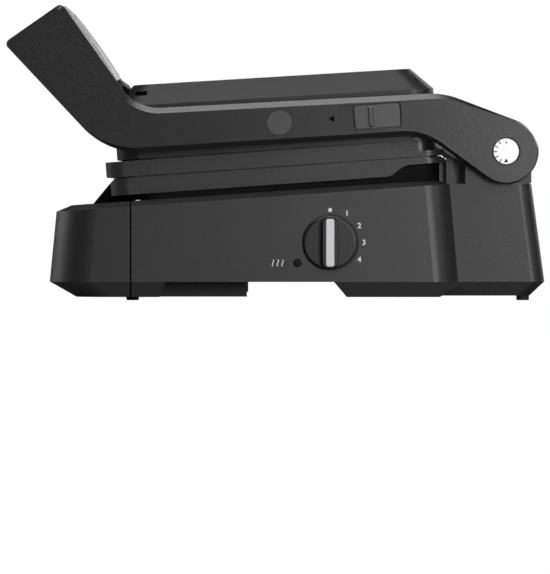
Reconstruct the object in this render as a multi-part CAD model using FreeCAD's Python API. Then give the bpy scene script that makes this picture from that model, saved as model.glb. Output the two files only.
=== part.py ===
import FreeCAD, Part
import math
import os

os.makedirs("parts", exist_ok=True)

V = FreeCAD.Vector

# Contact grill with two arms, a floating upper head and a lid that opens flat.
# All lengths in millimetres, angles in degrees. X is across, Y runs to the rear, Z is up.

# Shared values: the gap between loose pieces, and how far parts of one moulding run into each other
fit = 0.3
overlap = 0.5

# Stance: the plates fall towards the drip tray at the front
tilt = 4.0
hinge_height = 100.6

# Distances from the hinge axis, along the bench; the front ones follow from the plates
hinge_to_rear = 26.5
hinge_to_shoulder = 32.0
front_wall_to_collar = 3.6
tray_front_length = 55.7

# Base housing
base_half_width = 184.0
side_draft = 2.5
rear_draft = 7.6
shoulder_draft = 5.0
front_draft = 5.5
belt_height = 12.6
wall = 2.5
shoulder_radius = 17.0
neck_step = 21.5
neck_radius = 9.0
neck_below_hinge = 22.0
ledge_depth = 19.4
ledge_rise = 3.6
ledge_run = 10.0

# Skids and feet under the belt
skid_height = 2.4
skid_width = 24.0
skid_taper = 2.0
front_skid_length = 23.0
front_skid_slant = 4.0
rear_skid_start = 116.1
rear_skid_end = 29.2
rear_skid_front_slant = 8.6
rear_skid_rear_slant = 15.5
rear_block_height = 3.1
rear_chamfer = 10.0
floor_thickness = 2.5
foot_radius = 4.3
foot_inset = 30.0
front_foot_to_joint = 0.4
rear_foot_behind_hinge = 11.8
floor_slots = 9
floor_slot_pitch = 9.0
floor_slot_length = 46.0
floor_slot_width = 3.2
floor_screw_inset = 35.0
floor_screw_front = 60.0
floor_screw_middle = 125.0
floor_screw_rear = 18.0
floor_screw_length = 6.4
floor_screw_sink = 2.2
screw_boss_floor = 2.0
screw_boss_height = 9.0
foot_chamfer = 0.5

# Drip tray and its front
tray_gap = 1.0
front_corner_radius = 28.0
front_chamfer_run = 18.0
front_bottom = 2.4
tray_floor = 4.1
tray_lip = 11.3
tray_length_under = 77.7
tray_to_foot = 14.0
tray_wall = 2.0
basin_rise = 44.0
rail_gap = 0.8
rail_lip = 6.0
rail_thickness = 1.5
tray_basin_front = 4.85
tray_basin_rear = 1.6
tray_front_radius = 6.0
tray_tail_radius = 3.6
toe_floor_share = 0.6
toe_corner_step = 4.0
front_sill = 1.5
mouth_behind_crest = 3.0

# Grill plates, all depths measured from the parting plane between them
half_gap = 0.9
plate_to_arm = 7.0
plate_rear = 41.0
lower_rim_front = 8.2
upper_rim_front = 10.6
plate_corner = 12.0
rim_thickness = 2.6
lower_nose_radius = 3.0
upper_nose_radius = 1.0
bead_width = 2.0
bead_overlap = 0.15
lower_bead_inset = 2.2
upper_bead_inset = 6.2
skirt_depth = 11.4
skirt_wall = 2.6
cooking_floor = 6.0
cooking_floor_thickness = 2.5
rim_width = 8.0
basin_wall = 3.0
basin_front = 260.0
rib_height = 2.6
rib_width = 4.6
rib_taper = 0.9
rib_pitch = 13.2
skirt_sweep_start = 84.0
skirt_sweep_end = 63.0
skirt_stub = 0.9
spout_half_width = 52.0
spout_wall = 2.4
spout_reach = 14.0
spout_drop = 15.0
spout_apron_gap = 0.3
spout_apron_drop = 2.2
spout_apron_front = 2.0
spout_apron_joint = 2.6
spout_apron_rear = 0.8
spout_lip = 0.4
spout_bend = 6.0
spout_toe = 1.5
spout_heel = 4.5
spout_cheek_toe = 2.0
spout_cheek_rise = 3.0
spout_cheek_radius = 7.0

# Collars that carry the plates, heaters and shields
collar_to_skirt = 0.8
collar_to_basin_front = 11.0
collar_behind_rim = 5.4
collar_wall = 2.4
collar_gap = 0.4
collar_depth = 27.0
collar_guard = 0.4
fence_wall = 2.0
collar_guard_front = 240.0
shield_thickness = 0.8
shield_flange = 18.6
shield_rear_flange = 9.6
shield_depth = 20.0
heater_radius = 3.25
heater_gap = 0.35
heater_side_inset = 18.0
heater_inner_half = 42.0
heater_front_inset = 14.4
heater_rear_inset = 10.0
heater_turn = 30.0
heater_bend = 16.0
probe_radius = 6.0
probe_at = 150.0
probe_tail = 9.0
probe_flange = 3.0
probe_flange_thickness = 2.0
clip_half_length = 5.0

# Hinge: fixed axle stubs, bushes in the arms, silver end discs
pin_radius = 6.0
pin_running_gap = 0.05
bush_radius = 9.0
hub_boss_radius = 13.0
cap_radius = 8.9
cap_window_radius = 9.7
cap_thickness = 2.2
cap_setback = 0.1
cap_chamfer = 0.4
lock_disc_radius = 13.0
lock_disc_thickness = 3.0
lock_disc_gap = 1.5
hub_gap = 0.7
tower_front = 27.3
tower_rear = 17.5
tower_top = 17.0
tower_front_radius = 14.0
tower_rear_radius = 16.0
ridge_below_hinge = 4.5
ridge_thickness = 4.6
ridge_gap = 1.2
shelf_end_inset = 10.0
shelf_gap = 2.0
shelf_below_hinge = 7.6
seam_height = 0.6
seam_depth = 0.8
bracket_thickness = 2.0
bracket_gap = 1.0
bracket_rise = 0.5
bracket_peak = (-10.0, 11.0)
bracket_peak_radius = 6.0
bracket_rear_top = 6.0
bracket_rear_radius = 8.0
bracket_front_drop = 4.0

# Arms and the handle's cheeks: outline corners (towards the rear, above the plates)
arm_gap = 2.5
arm_thickness = 15.0
arm_bevel_depth = 3.0
arm_wall = 3.0
hub_radius = 22.0
tip_front = (-332.9, 96.5)
tip_top = (-292.3, 120.8)
knee_top = (-246.6, 45.8)
rear_top = (-39.3, 42.3)
rear_low = (-54.3, 15.0)
knee_low = (-267.9, 16.6)
tip_radius = 3.5
knee_top_radius = 30.0
rear_top_radius = 50.0
rear_low_radius = 36.6
knee_low_radius = 53.0
end_bevel = 1.2
upper_bevel = 3.7
rear_bevel = 2.5
hub_bevel = 1.0
lower_bevel = 3.4
grip_bevel = 0.9
liner_thickness = 2.0
liner_screw_depth = 1.4
liner_screw_length = 7.5
cavity_to_bevel = 0.5
arm_screws_at = ((-285.0, 92.0), (-232.0, 30.0), (-75.0, 22.5))

# Pivot of the floating head
pivot_at = (-151.3, 29.8)
pivot_pin_radius = 5.0
pivot_cap_radius = 8.6
pivot_boss_radius = 9.5
cap_recess = 1.6
cap_floor = 1.5
pivot_cap_rounding = 0.4
plate_bracket_below = 9.0
plate_bracket_above = 14.0
plate_bracket_radius = 3.0
pivot_pin_gap = 1.5

# Flat-open latch in the right arm
slot_at = (-90.3, 29.8)
slot_length = 43.0
slot_width = 17.1
slot_depth = 3.2
slot_radius = 2.0
slider_length = 30.3
slider_width = 15.3
slider_margin = 1.0
latch_travel = 9.0
slider_setback = 0.2
grip_ridge_width = 3.6
grip_ridge_at = 4.3
grip_ridge_margin = 0.8
grip_ridge_proud = 1.4
grip_ridge_chamfer = 0.8
stem_length = 10.0
stem_width = 5.0
rod_width = 7.0
rod_thickness = 3.0
rod_reach = 13.0
rod_bend = 42.0
rod_tip_angle = 144.65
rod_tip_gap = 0.8
latch_wire = 0.9
latch_coil_radius = 3.2
latch_coils = 6
spring_room = 9.0
spring_end_gap = 0.05
rod_to_liner = 2.3

# Upper head
head_to_arm = 4.0
head_over_basin = 2.5
head_behind_rim = 4.5
head_bottom = 12.3
head_split = 27.0
head_edge_front = 48.6
head_edge_rear = 46.3
head_top_front = 62.4
head_top_rear = 60.6
head_slope_run = 14.5
head_corner = 15.0
top_corner = 11.0
panel_inset = 7.0
panel_groove = 1.0
panel_groove_depth = 2.0
panel_thickness = 1.8
top_wall = 4.0
vent_at = (-243.0, 56.4)
vent_length = 8.0
vent_height = 2.8
slit_start = (-62.8, 60.4)
slit_end = (-55.3, 51.9)
slit_width = 1.0
bracket_reach = 20.0

# Handle console between the cheeks
console_wall = 3.0
console_gap = 0.2
console_foot = (-256.0, 60.5)
console_heel = (-265.2, 50.0)
console_base_rear = (-265.2, 30.5)
console_base_front = (-277.0, 31.5)
console_toe = (-283.2, 36.6)
back_depth = 4.4
skin_start = 2.5
skin_end = 64.0
skin_dome = 2.3
skin_edge = 1.0
skin_end_inset = 7.0
end_block_length = 6.5
end_block_height = 3.2
beam_along = 45.0
beam_below = 20.0
beam_depth = 12.0
beam_width = 22.0
handle_screw_length = 16.0
end_block_radius = 2.0
end_block_rounding = 0.9

# Control panel on the end face of the handle
panel_end_inset = 17.0
panel_height = 37.0
panel_plate = 1.2
panel_proud = 0.3
panel_radius = 5.0
display_outer = 15.0
display_inner = 11.5
lens_gap = 0.2
lens_proud = 0.4
lens_rounding = 0.3
display_proud = 1.0
display_rounding = 0.6
display_gap = 0.1
panel_chamfer = 0.2
button_radius = 6.5
button_proud = 1.2
button_travel = 0.8
button_first = 48.0
button_pitch = 30.0
buttons_each_side = 3
button_flange = 1.5
button_rounding = 0.7
board_depth = 9.0
board_thickness = 1.6
switch_gap = 0.5
switch_half = 3.0
light_margin = 3.0
light_gap = 1.0
board_post_radius = 2.5
board_post_side = 8.0
board_post_end = 4.0
board_end_inset = 18.0
board_height = 30.0

# Knob, lamp and what stands behind them in the right wall
knob_before_hinge = 118.7
knob_height = 39.0
knob_ring_radius = 19.3
knob_radius = 18.0
knob_base_thickness = 4.2
grip_width = 12.8
grip_height = 8.8
grip_top_width = 9.6
grip_inset = 1.2
grip_taper = 1.6
knob_rounding = 1.4
pointer_width = 5.5
pointer_length = 31.9
pointer_proud = 0.5
pointer_depth = 1.2
pointer_radius = 1.5
pointer_chamfer = 0.25
shaft_radius = 3.0
shaft_running_gap = 0.06
recess_depth = 2.4
lamp_before_hinge = 140.7
lamp_height = 25.4
lamp_radius = 2.9
lamp_fit = 0.05
lamp_proud = 0.5
lamp_rounding = 0.8
lamp_flange = 1.0
thermostat_size = 32.0
thermostat_depth = 20.0
thermostat_rounding = 2.0
terminal_length = 8.0
terminal_half_thickness = 0.4
terminal_half_height = 3.0

# Plate latches
latch_button_width = 22.0
latch_button_height = 7.0
latch_press = 3.0
lower_latch_at = 205.0
upper_latch_inset = 50.0
lower_button_depth = 28.0
upper_button_depth = 18.0
lug_width = 12.0
lug_thickness = 3.0
lug_depth = 17.5
lug_wall = 1.6
hook_gap = 1.5
button_lip = 0.6
latch_button_chamfer = 0.8
latch_room_side = 2.0
latch_room_tongue = 4.0

# Other inner pieces
board_at = (-62.0, -135.0)
board_length = 120.0
board_width = 74.0
power_board_height = 21.0
board_hole_inset = 6.0
board_screw_length = 7.0
relay_at = (-26.0, -0.5)
relay_size = (28.0, 15.0, 15.0)
transformer_at = (19.0, 1.0)
transformer_size = (30.0, 26.0, 22.0)
socket_at = (0.0, -28.5)
socket_size = (60.0, 9.0, 9.0)
capacitor_at = (-26.0, 20.0)
capacitor_radius = 6.0
capacitor_height = 16.0
gland_radius = 5.5
gland_flange_radius = 8.0
gland_bore = 3.6
gland_height = 27.0
gland_side = 112.0
gland_flange = 1.6
gland_sleeve = 4.0
screw_head_radius = 3.2
screw_head_height = 2.0
screw_shank_radius = 1.6
screw_cross_reach = 2.0
screw_cross_half = 0.4

# Values worked out from the ones above
tilt_tan = math.tan(math.radians(tilt))
tilt_cos = math.cos(math.radians(tilt))
neck_half_width = base_half_width - neck_step
neck_height = hinge_height - neck_below_hinge
ridge_height = hinge_height - ridge_below_hinge
shelf_height = hinge_height - shelf_below_hinge
arm_inner = neck_half_width + arm_gap
arm_outer = arm_inner + arm_thickness
plate_half_width = arm_inner - plate_to_arm
basin_half_width = plate_half_width - rim_width
basin_rear = plate_rear + rim_width
upper_latch_at = basin_half_width - upper_latch_inset
lower_plate_front = basin_front + lower_rim_front
upper_plate_front = basin_front + upper_rim_front
collar_half_width = plate_half_width - skirt_wall - collar_to_skirt
collar_front = basin_front - collar_to_basin_front
collar_rear = plate_rear + collar_behind_rim
shield_half_width = collar_half_width - shield_flange
shield_front = collar_front - shield_flange
shield_rear = collar_rear + shield_rear_flange
heater_half_width = shield_half_width - heater_side_inset
heater_front = shield_front - heater_front_inset
heater_back = shield_rear + heater_rear_inset
heater_turn_back = heater_back + heater_turn
hinge_to_joint = collar_front + front_wall_to_collar
hinge_to_front = hinge_to_joint + tray_front_length
tray_half_width = base_half_width - foot_inset - tray_to_foot
shelf_half_width = basin_half_width - shelf_end_inset
shelf_front = collar_rear - shelf_gap
head_half_width = arm_inner - head_to_arm
head_front = basin_front + head_over_basin
head_rear = plate_rear + head_behind_rim
skin_half_width = arm_inner - skin_end_inset
panel_half_width = arm_inner - panel_end_inset
board_half_width = panel_half_width - board_end_inset
arm_bevel_start = arm_outer - arm_bevel_depth
cavity_outer = arm_bevel_start - cavity_to_bevel
liner_face = arm_inner + liner_thickness
lock_disc_start = liner_face + lock_disc_gap
bush_start = lock_disc_start + lock_disc_thickness + hub_gap
rod_start = liner_face + rod_to_liner
lug_start = 3 * collar_wall
switch_height = board_depth - console_wall - fit - button_flange - button_travel - switch_gap
side_lean = math.tan(math.radians(side_draft))
recess_plane = base_half_width - recess_depth - side_lean * (knob_height - belt_height)
knob_face = recess_plane + fit + knob_base_thickness + grip_height + pointer_proud
cooking_underside = cooking_floor + cooking_floor_thickness
rim_underside = half_gap + rim_thickness
screw_seat = belt_height + floor_screw_sink
screw_boss_top = belt_height + screw_boss_height
heater_depth = cooking_underside + heater_gap + heater_radius


def rounded_wire(corners):
    """Closed wire through 3-D corners given as (point, radius), with tangent arcs at the corners."""
    count = len(corners)
    starts = []
    ends = []
    middles = []
    for index in range(count):
        point, radius = corners[index]
        before = (corners[index - 1][0] - point).normalize()
        after = (corners[(index + 1) % count][0] - point).normalize()
        half = before.getAngle(after) / 2
        if radius <= 0 or abs(math.cos(half)) < 1e-6:
            starts.append(point)
            ends.append(point)
            middles.append(None)
            continue
        run = radius / math.tan(half)
        bisector = (before + after).normalize()
        centre = point + bisector * (radius / math.sin(half))
        starts.append(point + before * run)
        ends.append(point + after * run)
        middles.append(centre - bisector * radius)
    edges = []
    for index in range(count):
        if middles[index] is not None:
            edges.append(Part.Arc(starts[index], middles[index], ends[index]).toShape())
        following = (index + 1) % count
        if ends[index].distanceToPoint(starts[following]) > 1e-6:
            edges.append(Part.LineSegment(ends[index], starts[following]).toShape())
    return Part.Wire(edges)


def rounded_path(points, radius):
    """Open wire through 3-D points, with tangent arcs of one radius at the inner points."""
    edges = []
    here = points[0]
    for index in range(1, len(points) - 1):
        point = points[index]
        before = (points[index - 1] - point).normalize()
        after = (points[index + 1] - point).normalize()
        half = before.getAngle(after) / 2
        run = radius / math.tan(half)
        bisector = (before + after).normalize()
        centre = point + bisector * (radius / math.sin(half))
        start = point + before * run
        end = point + after * run
        edges.append(Part.LineSegment(here, start).toShape())
        edges.append(Part.Arc(start, centre - bisector * radius, end).toShape())
        here = end
    edges.append(Part.LineSegment(here, points[-1]).toShape())
    return Part.Wire(edges)


def tube(points, bend, radius):
    """Round bar along a path of straight runs and tangent arcs."""
    path = rounded_path(points, bend)
    direction = (points[1] - points[0]).normalize()
    ring = Part.Wire(Part.makeCircle(radius, points[0], direction))
    return path.makePipeShell([ring], True, False)


def prism(wire, direction):
    """Solid made by moving a flat closed wire along a direction."""
    return Part.Face(wire).extrude(direction)


def side_slab(corners, x_low, x_high):
    """Slab between two X planes with a side-view outline of (y, z, radius) corners."""
    wire = rounded_wire([(V(x_low, y, z), radius) for y, z, radius in corners])
    return prism(wire, V(x_high - x_low, 0, 0))


def plan_slab(corners, z_low, z_high):
    """Slab between two Z planes with a plan outline of (x, y, radius) corners."""
    wire = rounded_wire([(V(x, y, z_low), radius) for x, y, radius in corners])
    return prism(wire, V(0, 0, z_high - z_low))


def block(x_low, x_high, y_low, y_high, z_low, z_high):
    """Plain box between six planes."""
    return Part.makeBox(x_high - x_low, y_high - y_low, z_high - z_low, V(x_low, y_low, z_low))


def rounded_block(half_width, y_low, y_high, z_low, z_high, radius):
    """Box centred across, with rounded vertical corners."""
    corners = [
        (half_width, y_low, radius),
        (half_width, y_high, radius),
        (-half_width, y_high, radius),
        (-half_width, y_low, radius),
    ]
    return plan_slab(corners, z_low, z_high)


def disc(x_low, x_high, y, z, radius):
    """Round bar along X."""
    return Part.makeCylinder(radius, x_high - x_low, V(x_low, y, z), V(1, 0, 0))


def post(x, y, z_low, z_high, radius):
    """Round bar along Z."""
    return Part.makeCylinder(radius, z_high - z_low, V(x, y, z_low))


def both_sides(shape):
    """The shape and its mirror image across the grill's middle plane."""
    return [shape, shape.mirror(V(0, 0, 0), V(1, 0, 0))]


def fused(shapes):
    """One solid from shapes that overlap or share faces."""
    result = shapes[0]
    if len(shapes) > 1:
        result = shapes[0].multiFuse(shapes[1:])
    return result.removeSplitter()


def group(shapes):
    """Separate solids kept in one node."""
    return Part.makeCompound(shapes)


def upside_down(shape):
    """Lower half turned into upper half: mirrored in the parting plane."""
    return shape.mirror(V(0, 0, 0), V(0, 0, 1))


def tilted(shape):
    """From the grill's own frame, with the hinge axis at its origin, to the bench."""
    turned = shape.copy()
    turned.rotate(V(0, 0, 0), V(1, 0, 0), tilt)
    turned.translate(V(0, 0, hinge_height))
    return turned


def level(height):
    """A level plane, as its height at the hinge and its slope."""
    return (height, 0.0)


def parallel(depth):
    """A plane parallel to the plates, below the hinge axis by depth."""
    return (hinge_height - depth / tilt_cos, tilt_tan)


def height_on(plane, y):
    return plane[0] + plane[1] * y


def drafted_y(plane, belt_y, draft):
    """Where a wall that leans with the height meets a plane; belt_y is its place at the belt."""
    lean = math.tan(math.radians(draft))
    return (belt_y - lean * (plane[0] - belt_height)) / (1 + lean * plane[1])


def half_width_at(plane, y):
    """Half width of the drafted side walls where they meet a plane."""
    return base_half_width - side_lean * (height_on(plane, y) - belt_height)


def housing_ring(plane, y_front, y_rear, front_radius, rear_radius, inset):
    """Plan outline of the drafted housing on a plane, narrowed by an inset at both sides."""
    front_half = half_width_at(plane, y_front) - inset
    rear_half = half_width_at(plane, y_rear) - inset
    front_z = height_on(plane, y_front)
    rear_z = height_on(plane, y_rear)
    return rounded_wire([
        (V(front_half, y_front, front_z), front_radius),
        (V(rear_half, y_rear, rear_z), rear_radius),
        (V(-rear_half, y_rear, rear_z), rear_radius),
        (V(-front_half, y_front, front_z), front_radius),
    ])


def loft(wires):
    return Part.makeLoft(wires, True, True)


# Base


def main_block(inset, top_depth):
    """The wide part of the base, from the belt to the sloped ledge, inset all round."""
    rings = []
    for plane, extra in (
        (level(belt_height), 0.0),
        (parallel(top_depth), 0.0),
        (parallel(top_depth - ledge_rise), ledge_run),
    ):
        rear = drafted_y(plane, -hinge_to_shoulder, shoulder_draft) - inset - extra
        rings.append(housing_ring(plane, inset - hinge_to_joint, rear, 0, shoulder_radius, inset + extra))
    return fused([loft(rings[:2]), loft(rings[1:])])


def neck_block(inset, top):
    """The narrower part of the base between the arms, with a leaning rear wall."""
    rings = []
    for plane in (level(belt_height), level(top)):
        rear = drafted_y(plane, hinge_to_rear, rear_draft) - inset
        z = plane[0]
        half = neck_half_width - inset
        start = -hinge_to_shoulder - shoulder_radius - 2 * ledge_run
        rings.append(rounded_wire([
            (V(half, start, z), 0),
            (V(half, rear, z), neck_radius - inset),
            (V(-half, rear, z), neck_radius - inset),
            (V(-half, start, z), 0),
        ]))
    return loft(rings)


def well_opening():
    """The opening in the top of the base that takes the lower collar."""
    half = collar_half_width + fit
    return tilted(rounded_block(
        half, -collar_front - fit, -collar_rear + fit, -collar_depth, 0, plate_corner + fit))


def knob_seat():
    """Round recess that gives the knob a flat seat in the leaning wall."""
    return disc(recess_plane, base_half_width + 1, -knob_before_hinge, knob_height, knob_ring_radius)


def latch_window(margin):
    """Hole for the lower plate latch in the left wall."""
    half = latch_button_width / 2 + margin
    low = -lower_button_depth - latch_button_height - margin
    return tilted(block(
        -base_half_width - 1, -base_half_width + 3 * wall,
        -lower_latch_at - half, -lower_latch_at + half,
        low, -lower_button_depth + margin))


def gland_plane():
    """Y of the flat seat for the cord gland in the rear wall."""
    lean = math.tan(math.radians(rear_draft))
    return hinge_to_rear - lean * (gland_height + gland_flange_radius - belt_height)


def screw_bosses():
    """Posts that the floor screws bite into, each on a web from the side wall."""
    low = screw_seat + screw_boss_floor + fit
    bosses = []
    for x, y in screw_places():
        wall_x = math.copysign(base_half_width - wall, x)
        web = block(min(x, wall_x), max(x, wall_x), y - wall / 2, y + wall / 2, low, screw_boss_top)
        bore = post(x, y, low - 1, screw_boss_top + 1, screw_shank_radius)
        bosses.append(web.fuse(post(x, y, low, screw_boss_top, screw_head_radius)).cut(bore))
    return bosses


def make_base_shell():
    outer = fused([main_block(0, ledge_depth), neck_block(0, neck_height)])
    cavity = fused([main_block(wall, ledge_depth + wall), neck_block(wall, neck_height - wall)])
    knob_pad = disc(
        recess_plane - wall, base_half_width, -knob_before_hinge, knob_height, knob_ring_radius + wall)
    pad_start = V(-gland_side, gland_plane() - 3 * wall, gland_height)
    gland_pad = Part.makeCylinder(gland_flange_radius + wall, 3 * wall, pad_start, V(0, 1, 0))
    skin = outer.cut(cavity).fuse([knob_pad.common(outer), gland_pad.common(outer)])
    gland_seat = Part.makeCylinder(
        gland_flange_radius + fit, 2 * wall, V(-gland_side, gland_plane(), gland_height), V(0, 1, 0))
    gland_hole = Part.makeCylinder(
        gland_radius, 6 * wall, V(-gland_side, gland_plane() - 5 * wall, gland_height), V(0, 1, 0))
    cuts = [
        well_opening(),
        knob_seat(),
        disc(recess_plane - 2 * wall, base_half_width, -knob_before_hinge, knob_height,
             shaft_radius + shaft_running_gap),
        disc(base_half_width - 4 * wall, base_half_width + 1, -lamp_before_hinge, lamp_height,
             lamp_radius),
        latch_window(fit),
        gland_seat,
        gland_hole,
    ]
    return fused([skin.cut(cuts)] + screw_bosses())


def skid(y_front, y_rear, front_slant, rear_slant, inset):
    """One runner at the right side, or the hollow inside it when it is inset."""
    top = belt_height + (floor_thickness if inset else 0)
    outer = base_half_width - inset
    inner = base_half_width - skid_width + inset
    rings = []
    for z, taper, forward, backward in (
        (skid_height + inset / 2, skid_taper, front_slant, rear_slant),
        (top, 0, 0, 0),
    ):
        rings.append(rounded_wire([
            (V(outer - taper, y_front + forward + inset, z), 0),
            (V(outer - taper, y_rear - backward - inset, z), 0),
            (V(inner + taper, y_rear - backward - inset, z), 0),
            (V(inner + taper, y_front + forward + inset, z), 0),
        ]))
    return loft(rings)


def front_foot_places():
    """Where the front feet stand, as (x, y, lower face of what holds them)."""
    y = -hinge_to_joint + front_foot_to_joint
    return [(side * (base_half_width - foot_inset), y, skid_height) for side in (1, -1)]


def foot_places():
    """All four feet, as (x, y, lower face of what holds them)."""
    rear = [(side * (base_half_width - foot_inset), rear_foot_behind_hinge, rear_block_height)
            for side in (1, -1)]
    return front_foot_places() + rear


def screw_places():
    """Where the floor screws go in from below, as (x, y)."""
    places = []
    for side in (1, -1):
        for y in (
            floor_screw_front - hinge_to_joint,
            floor_screw_middle - hinge_to_joint,
            -floor_screw_rear - hinge_to_shoulder,
        ):
            places.append((side * (base_half_width - floor_screw_inset), y))
    return places


def rear_block_ring(z, start, inset, lowered):
    """Outline of the block under the neck; lowered is 0 at the belt and 1 at its underside."""
    half = neck_half_width - inset - lowered * skid_taper
    rear = hinge_to_rear - inset - lowered * rear_chamfer
    return rounded_wire([
        (V(half, start, z), 0),
        (V(half, rear, z), neck_radius - inset),
        (V(-half, rear, z), neck_radius - inset),
        (V(-half, start, z), 0),
    ])


def board_corners():
    """Where the power board is screwed to the floor's posts, as (x, y)."""
    x_half = board_length / 2 - board_hole_inset
    y_half = board_width / 2 - board_hole_inset
    return [(board_at[0] + i * x_half, board_at[1] + j * y_half) for i in (1, -1) for j in (1, -1)]


def tray_rail():
    """Rail under the floor whose lip carries the right edge of the drip tray."""
    face = tray_half_width + rail_gap
    front = -hinge_to_joint + wall
    rear = front + tray_length_under - wall
    high = tray_floor - rail_gap / 2
    low = high - rail_thickness
    web = block(face, face + wall, front, rear, low, belt_height)
    lip = block(tray_half_width - rail_lip, face + wall, front, rear, low, high)
    return web.fuse(lip)


def make_base_floor():
    """Pan inside the walls, hollow skids and rear block below it, and the front foot tongues."""
    block_start = -rear_skid_end - rear_skid_rear_slant - wall
    pan_top = belt_height + floor_thickness
    rear = -hinge_to_shoulder - wall - fit
    main_wire = housing_ring(
        level(belt_height), wall + fit - hinge_to_joint, rear, 0, shoulder_radius, wall + fit)
    neck_wire = rear_block_ring(belt_height, rear - shoulder_radius, wall + fit, 0)
    solids = [
        prism(main_wire, V(0, 0, floor_thickness)),
        prism(neck_wire, V(0, 0, floor_thickness)),
        loft([
            rear_block_ring(rear_block_height, block_start, 0, 1),
            rear_block_ring(belt_height, block_start, 0, 0),
        ]),
    ]
    pockets = [
        loft([
            rear_block_ring(rear_block_height + wall, block_start + 2 * wall, 2 * wall, 1),
            rear_block_ring(pan_top, block_start + 2 * wall, 2 * wall, 0),
        ]),
    ]
    runs = (
        (-hinge_to_joint, front_skid_length - hinge_to_joint, 0, front_skid_slant),
        (-rear_skid_start, -rear_skid_end, rear_skid_front_slant, rear_skid_rear_slant),
    )
    for y_front, y_rear, front_slant, rear_slant in runs:
        runner = skid(y_front, y_rear, front_slant, rear_slant, 0)
        hollow = skid(y_front, y_rear, front_slant, rear_slant, 2 * wall)
        solids += both_sides(runner)
        pockets += both_sides(hollow)
    for x, y, z in front_foot_places():
        reach = foot_radius + wall
        tongue = rounded_block(reach, y - reach, y + 2 * reach, z, belt_height, reach / 2)
        tongue.translate(V(x, 0, 0))
        solids.append(tongue)
    solids += [post(x, y, belt_height, power_board_height, screw_head_radius) for x, y in board_corners()]
    solids += both_sides(tray_rail())
    solids += [post(x, y, belt_height, screw_seat + screw_boss_floor, screw_head_radius + wall)
               for x, y in screw_places()]
    slots = []
    for index in range(floor_slots):
        y = board_at[1] + (index - (floor_slots - 1) / 2) * floor_slot_pitch
        for x in (board_at[0], -board_at[0]):
            slot = block(
                x - floor_slot_length / 2, x + floor_slot_length / 2,
                y - floor_slot_width / 2, y + floor_slot_width / 2, 0, pan_top + 1)
            slots.append(slot)
    holes = [post(x, y, 0, screw_boss_top, screw_shank_radius) for x, y in screw_places()]
    holes += [post(x, y, 0, screw_seat, screw_head_radius + fit) for x, y in screw_places()]
    holes += [post(x, y, pan_top, power_board_height + 1, screw_shank_radius) for x, y in board_corners()]
    pegs = [post(x, y, 0, z + 2 * wall, foot_radius / 2) for x, y, z in foot_places()]
    return fused(solids).cut(pockets + slots + holes + pegs).removeSplitter()


def make_feet():
    feet = []
    for x, y, z in foot_places():
        pad = post(x, y, 0, z, foot_radius)
        pad = pad.makeChamfer(foot_chamfer, [edge for edge in pad.Edges if edge.CenterOfMass.z < 0.1])
        feet.append(pad.fuse(post(x, y, 0, z + 2 * wall, foot_radius / 2)).removeSplitter())
    return group(feet)


def pan_screw(x, y, z, length):
    """Round-headed screw driven upwards, its head under the height z."""
    low = z - screw_head_height
    high = z - screw_head_height / 2
    reach = screw_cross_reach
    half = screw_cross_half
    head = post(x, y, low, z, screw_head_radius)
    cross = [
        block(x - reach, x + reach, y - half, y + half, low, high),
        block(x - half, x + half, y - reach, y + reach, low, high),
    ]
    shank = post(x, y, z, z + length, screw_shank_radius)
    return head.fuse(shank).cut(cross).removeSplitter()


def make_floor_screws():
    return group([pan_screw(x, y, screw_seat, floor_screw_length) for x, y in screw_places()])


def collar_fence():
    """Low wall on the collar's sides and rear, which hides the heater's slot under the plate's rim."""
    low = -cooking_underside - collar_gap - collar_wall
    high = -rim_underside - collar_guard
    outer = rounded_block(collar_half_width, -collar_guard_front, -collar_rear, low, high, plate_corner)
    inner = rounded_block(
        collar_half_width - collar_wall, -collar_guard_front - 1, -collar_rear - fence_wall,
        low - 1, high + 1, plate_corner - collar_wall)
    open_front = block(
        -collar_half_width, collar_half_width, -collar_guard_front - 1, -collar_guard_front + plate_corner,
        low - 1, high + 1)
    return outer.cut([inner, open_front])


def collar():
    """Rectangular collar under a plate with an inner step that holds the heat shield."""
    low = -collar_depth
    high = -cooking_underside - collar_gap
    outer = rounded_block(collar_half_width, -collar_front, -collar_rear, low, high, plate_corner)
    inner_radius = plate_corner - collar_wall
    bore = rounded_block(
        collar_half_width - collar_wall, collar_wall - collar_front, -collar_wall - collar_rear,
        low, high, inner_radius)
    step_top = -cooking_underside - collar_gap - shield_thickness - fit
    step_reach = collar_half_width - collar_wall - 2 * collar_wall
    step = rounded_block(
        collar_half_width - collar_wall / 2, collar_wall / 2 - collar_front, -collar_wall / 2 - collar_rear,
        step_top - collar_wall, step_top, inner_radius)
    step_bore = rounded_block(
        step_reach, 3 * collar_wall - collar_front, -3 * collar_wall - collar_rear,
        low, high, inner_radius / 2)
    return fused([outer.cut(bore), step.cut(step_bore), collar_fence()])


def latch_room(at, press_turn, collar_distance):
    """Space that a plate latch and its lug need inside the collar, in the plate's frame."""
    low = -shield_depth - 2 * shield_thickness
    room = block(
        -collar_distance + collar_wall, -collar_distance + lug_start + lug_thickness + 4 * latch_press,
        at - latch_button_width / 2 - latch_room_side, at + latch_button_width / 2 + latch_room_tongue,
        low, -cooking_underside - collar_gap / 2)
    room.rotate(V(0, 0, 0), V(0, 0, 1), press_turn)
    return room


def latch_lug(at, press_turn, collar_distance):
    """Lug with a window under a plate, which a latch hooks into."""
    near = -collar_distance + lug_start
    lug = block(
        near, near + lug_thickness, at - lug_width / 2, at + lug_width / 2,
        -lug_depth, -cooking_underside + overlap)
    window = block(
        near - 1, near + lug_thickness + 1, at - lug_width / 2 + lug_wall, at + lug_width / 2 - lug_wall,
        lug_wall - lug_depth, -cooking_underside - lug_wall)
    lug = lug.cut(window)
    lug.rotate(V(0, 0, 0), V(0, 0, 1), press_turn)
    return lug


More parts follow.
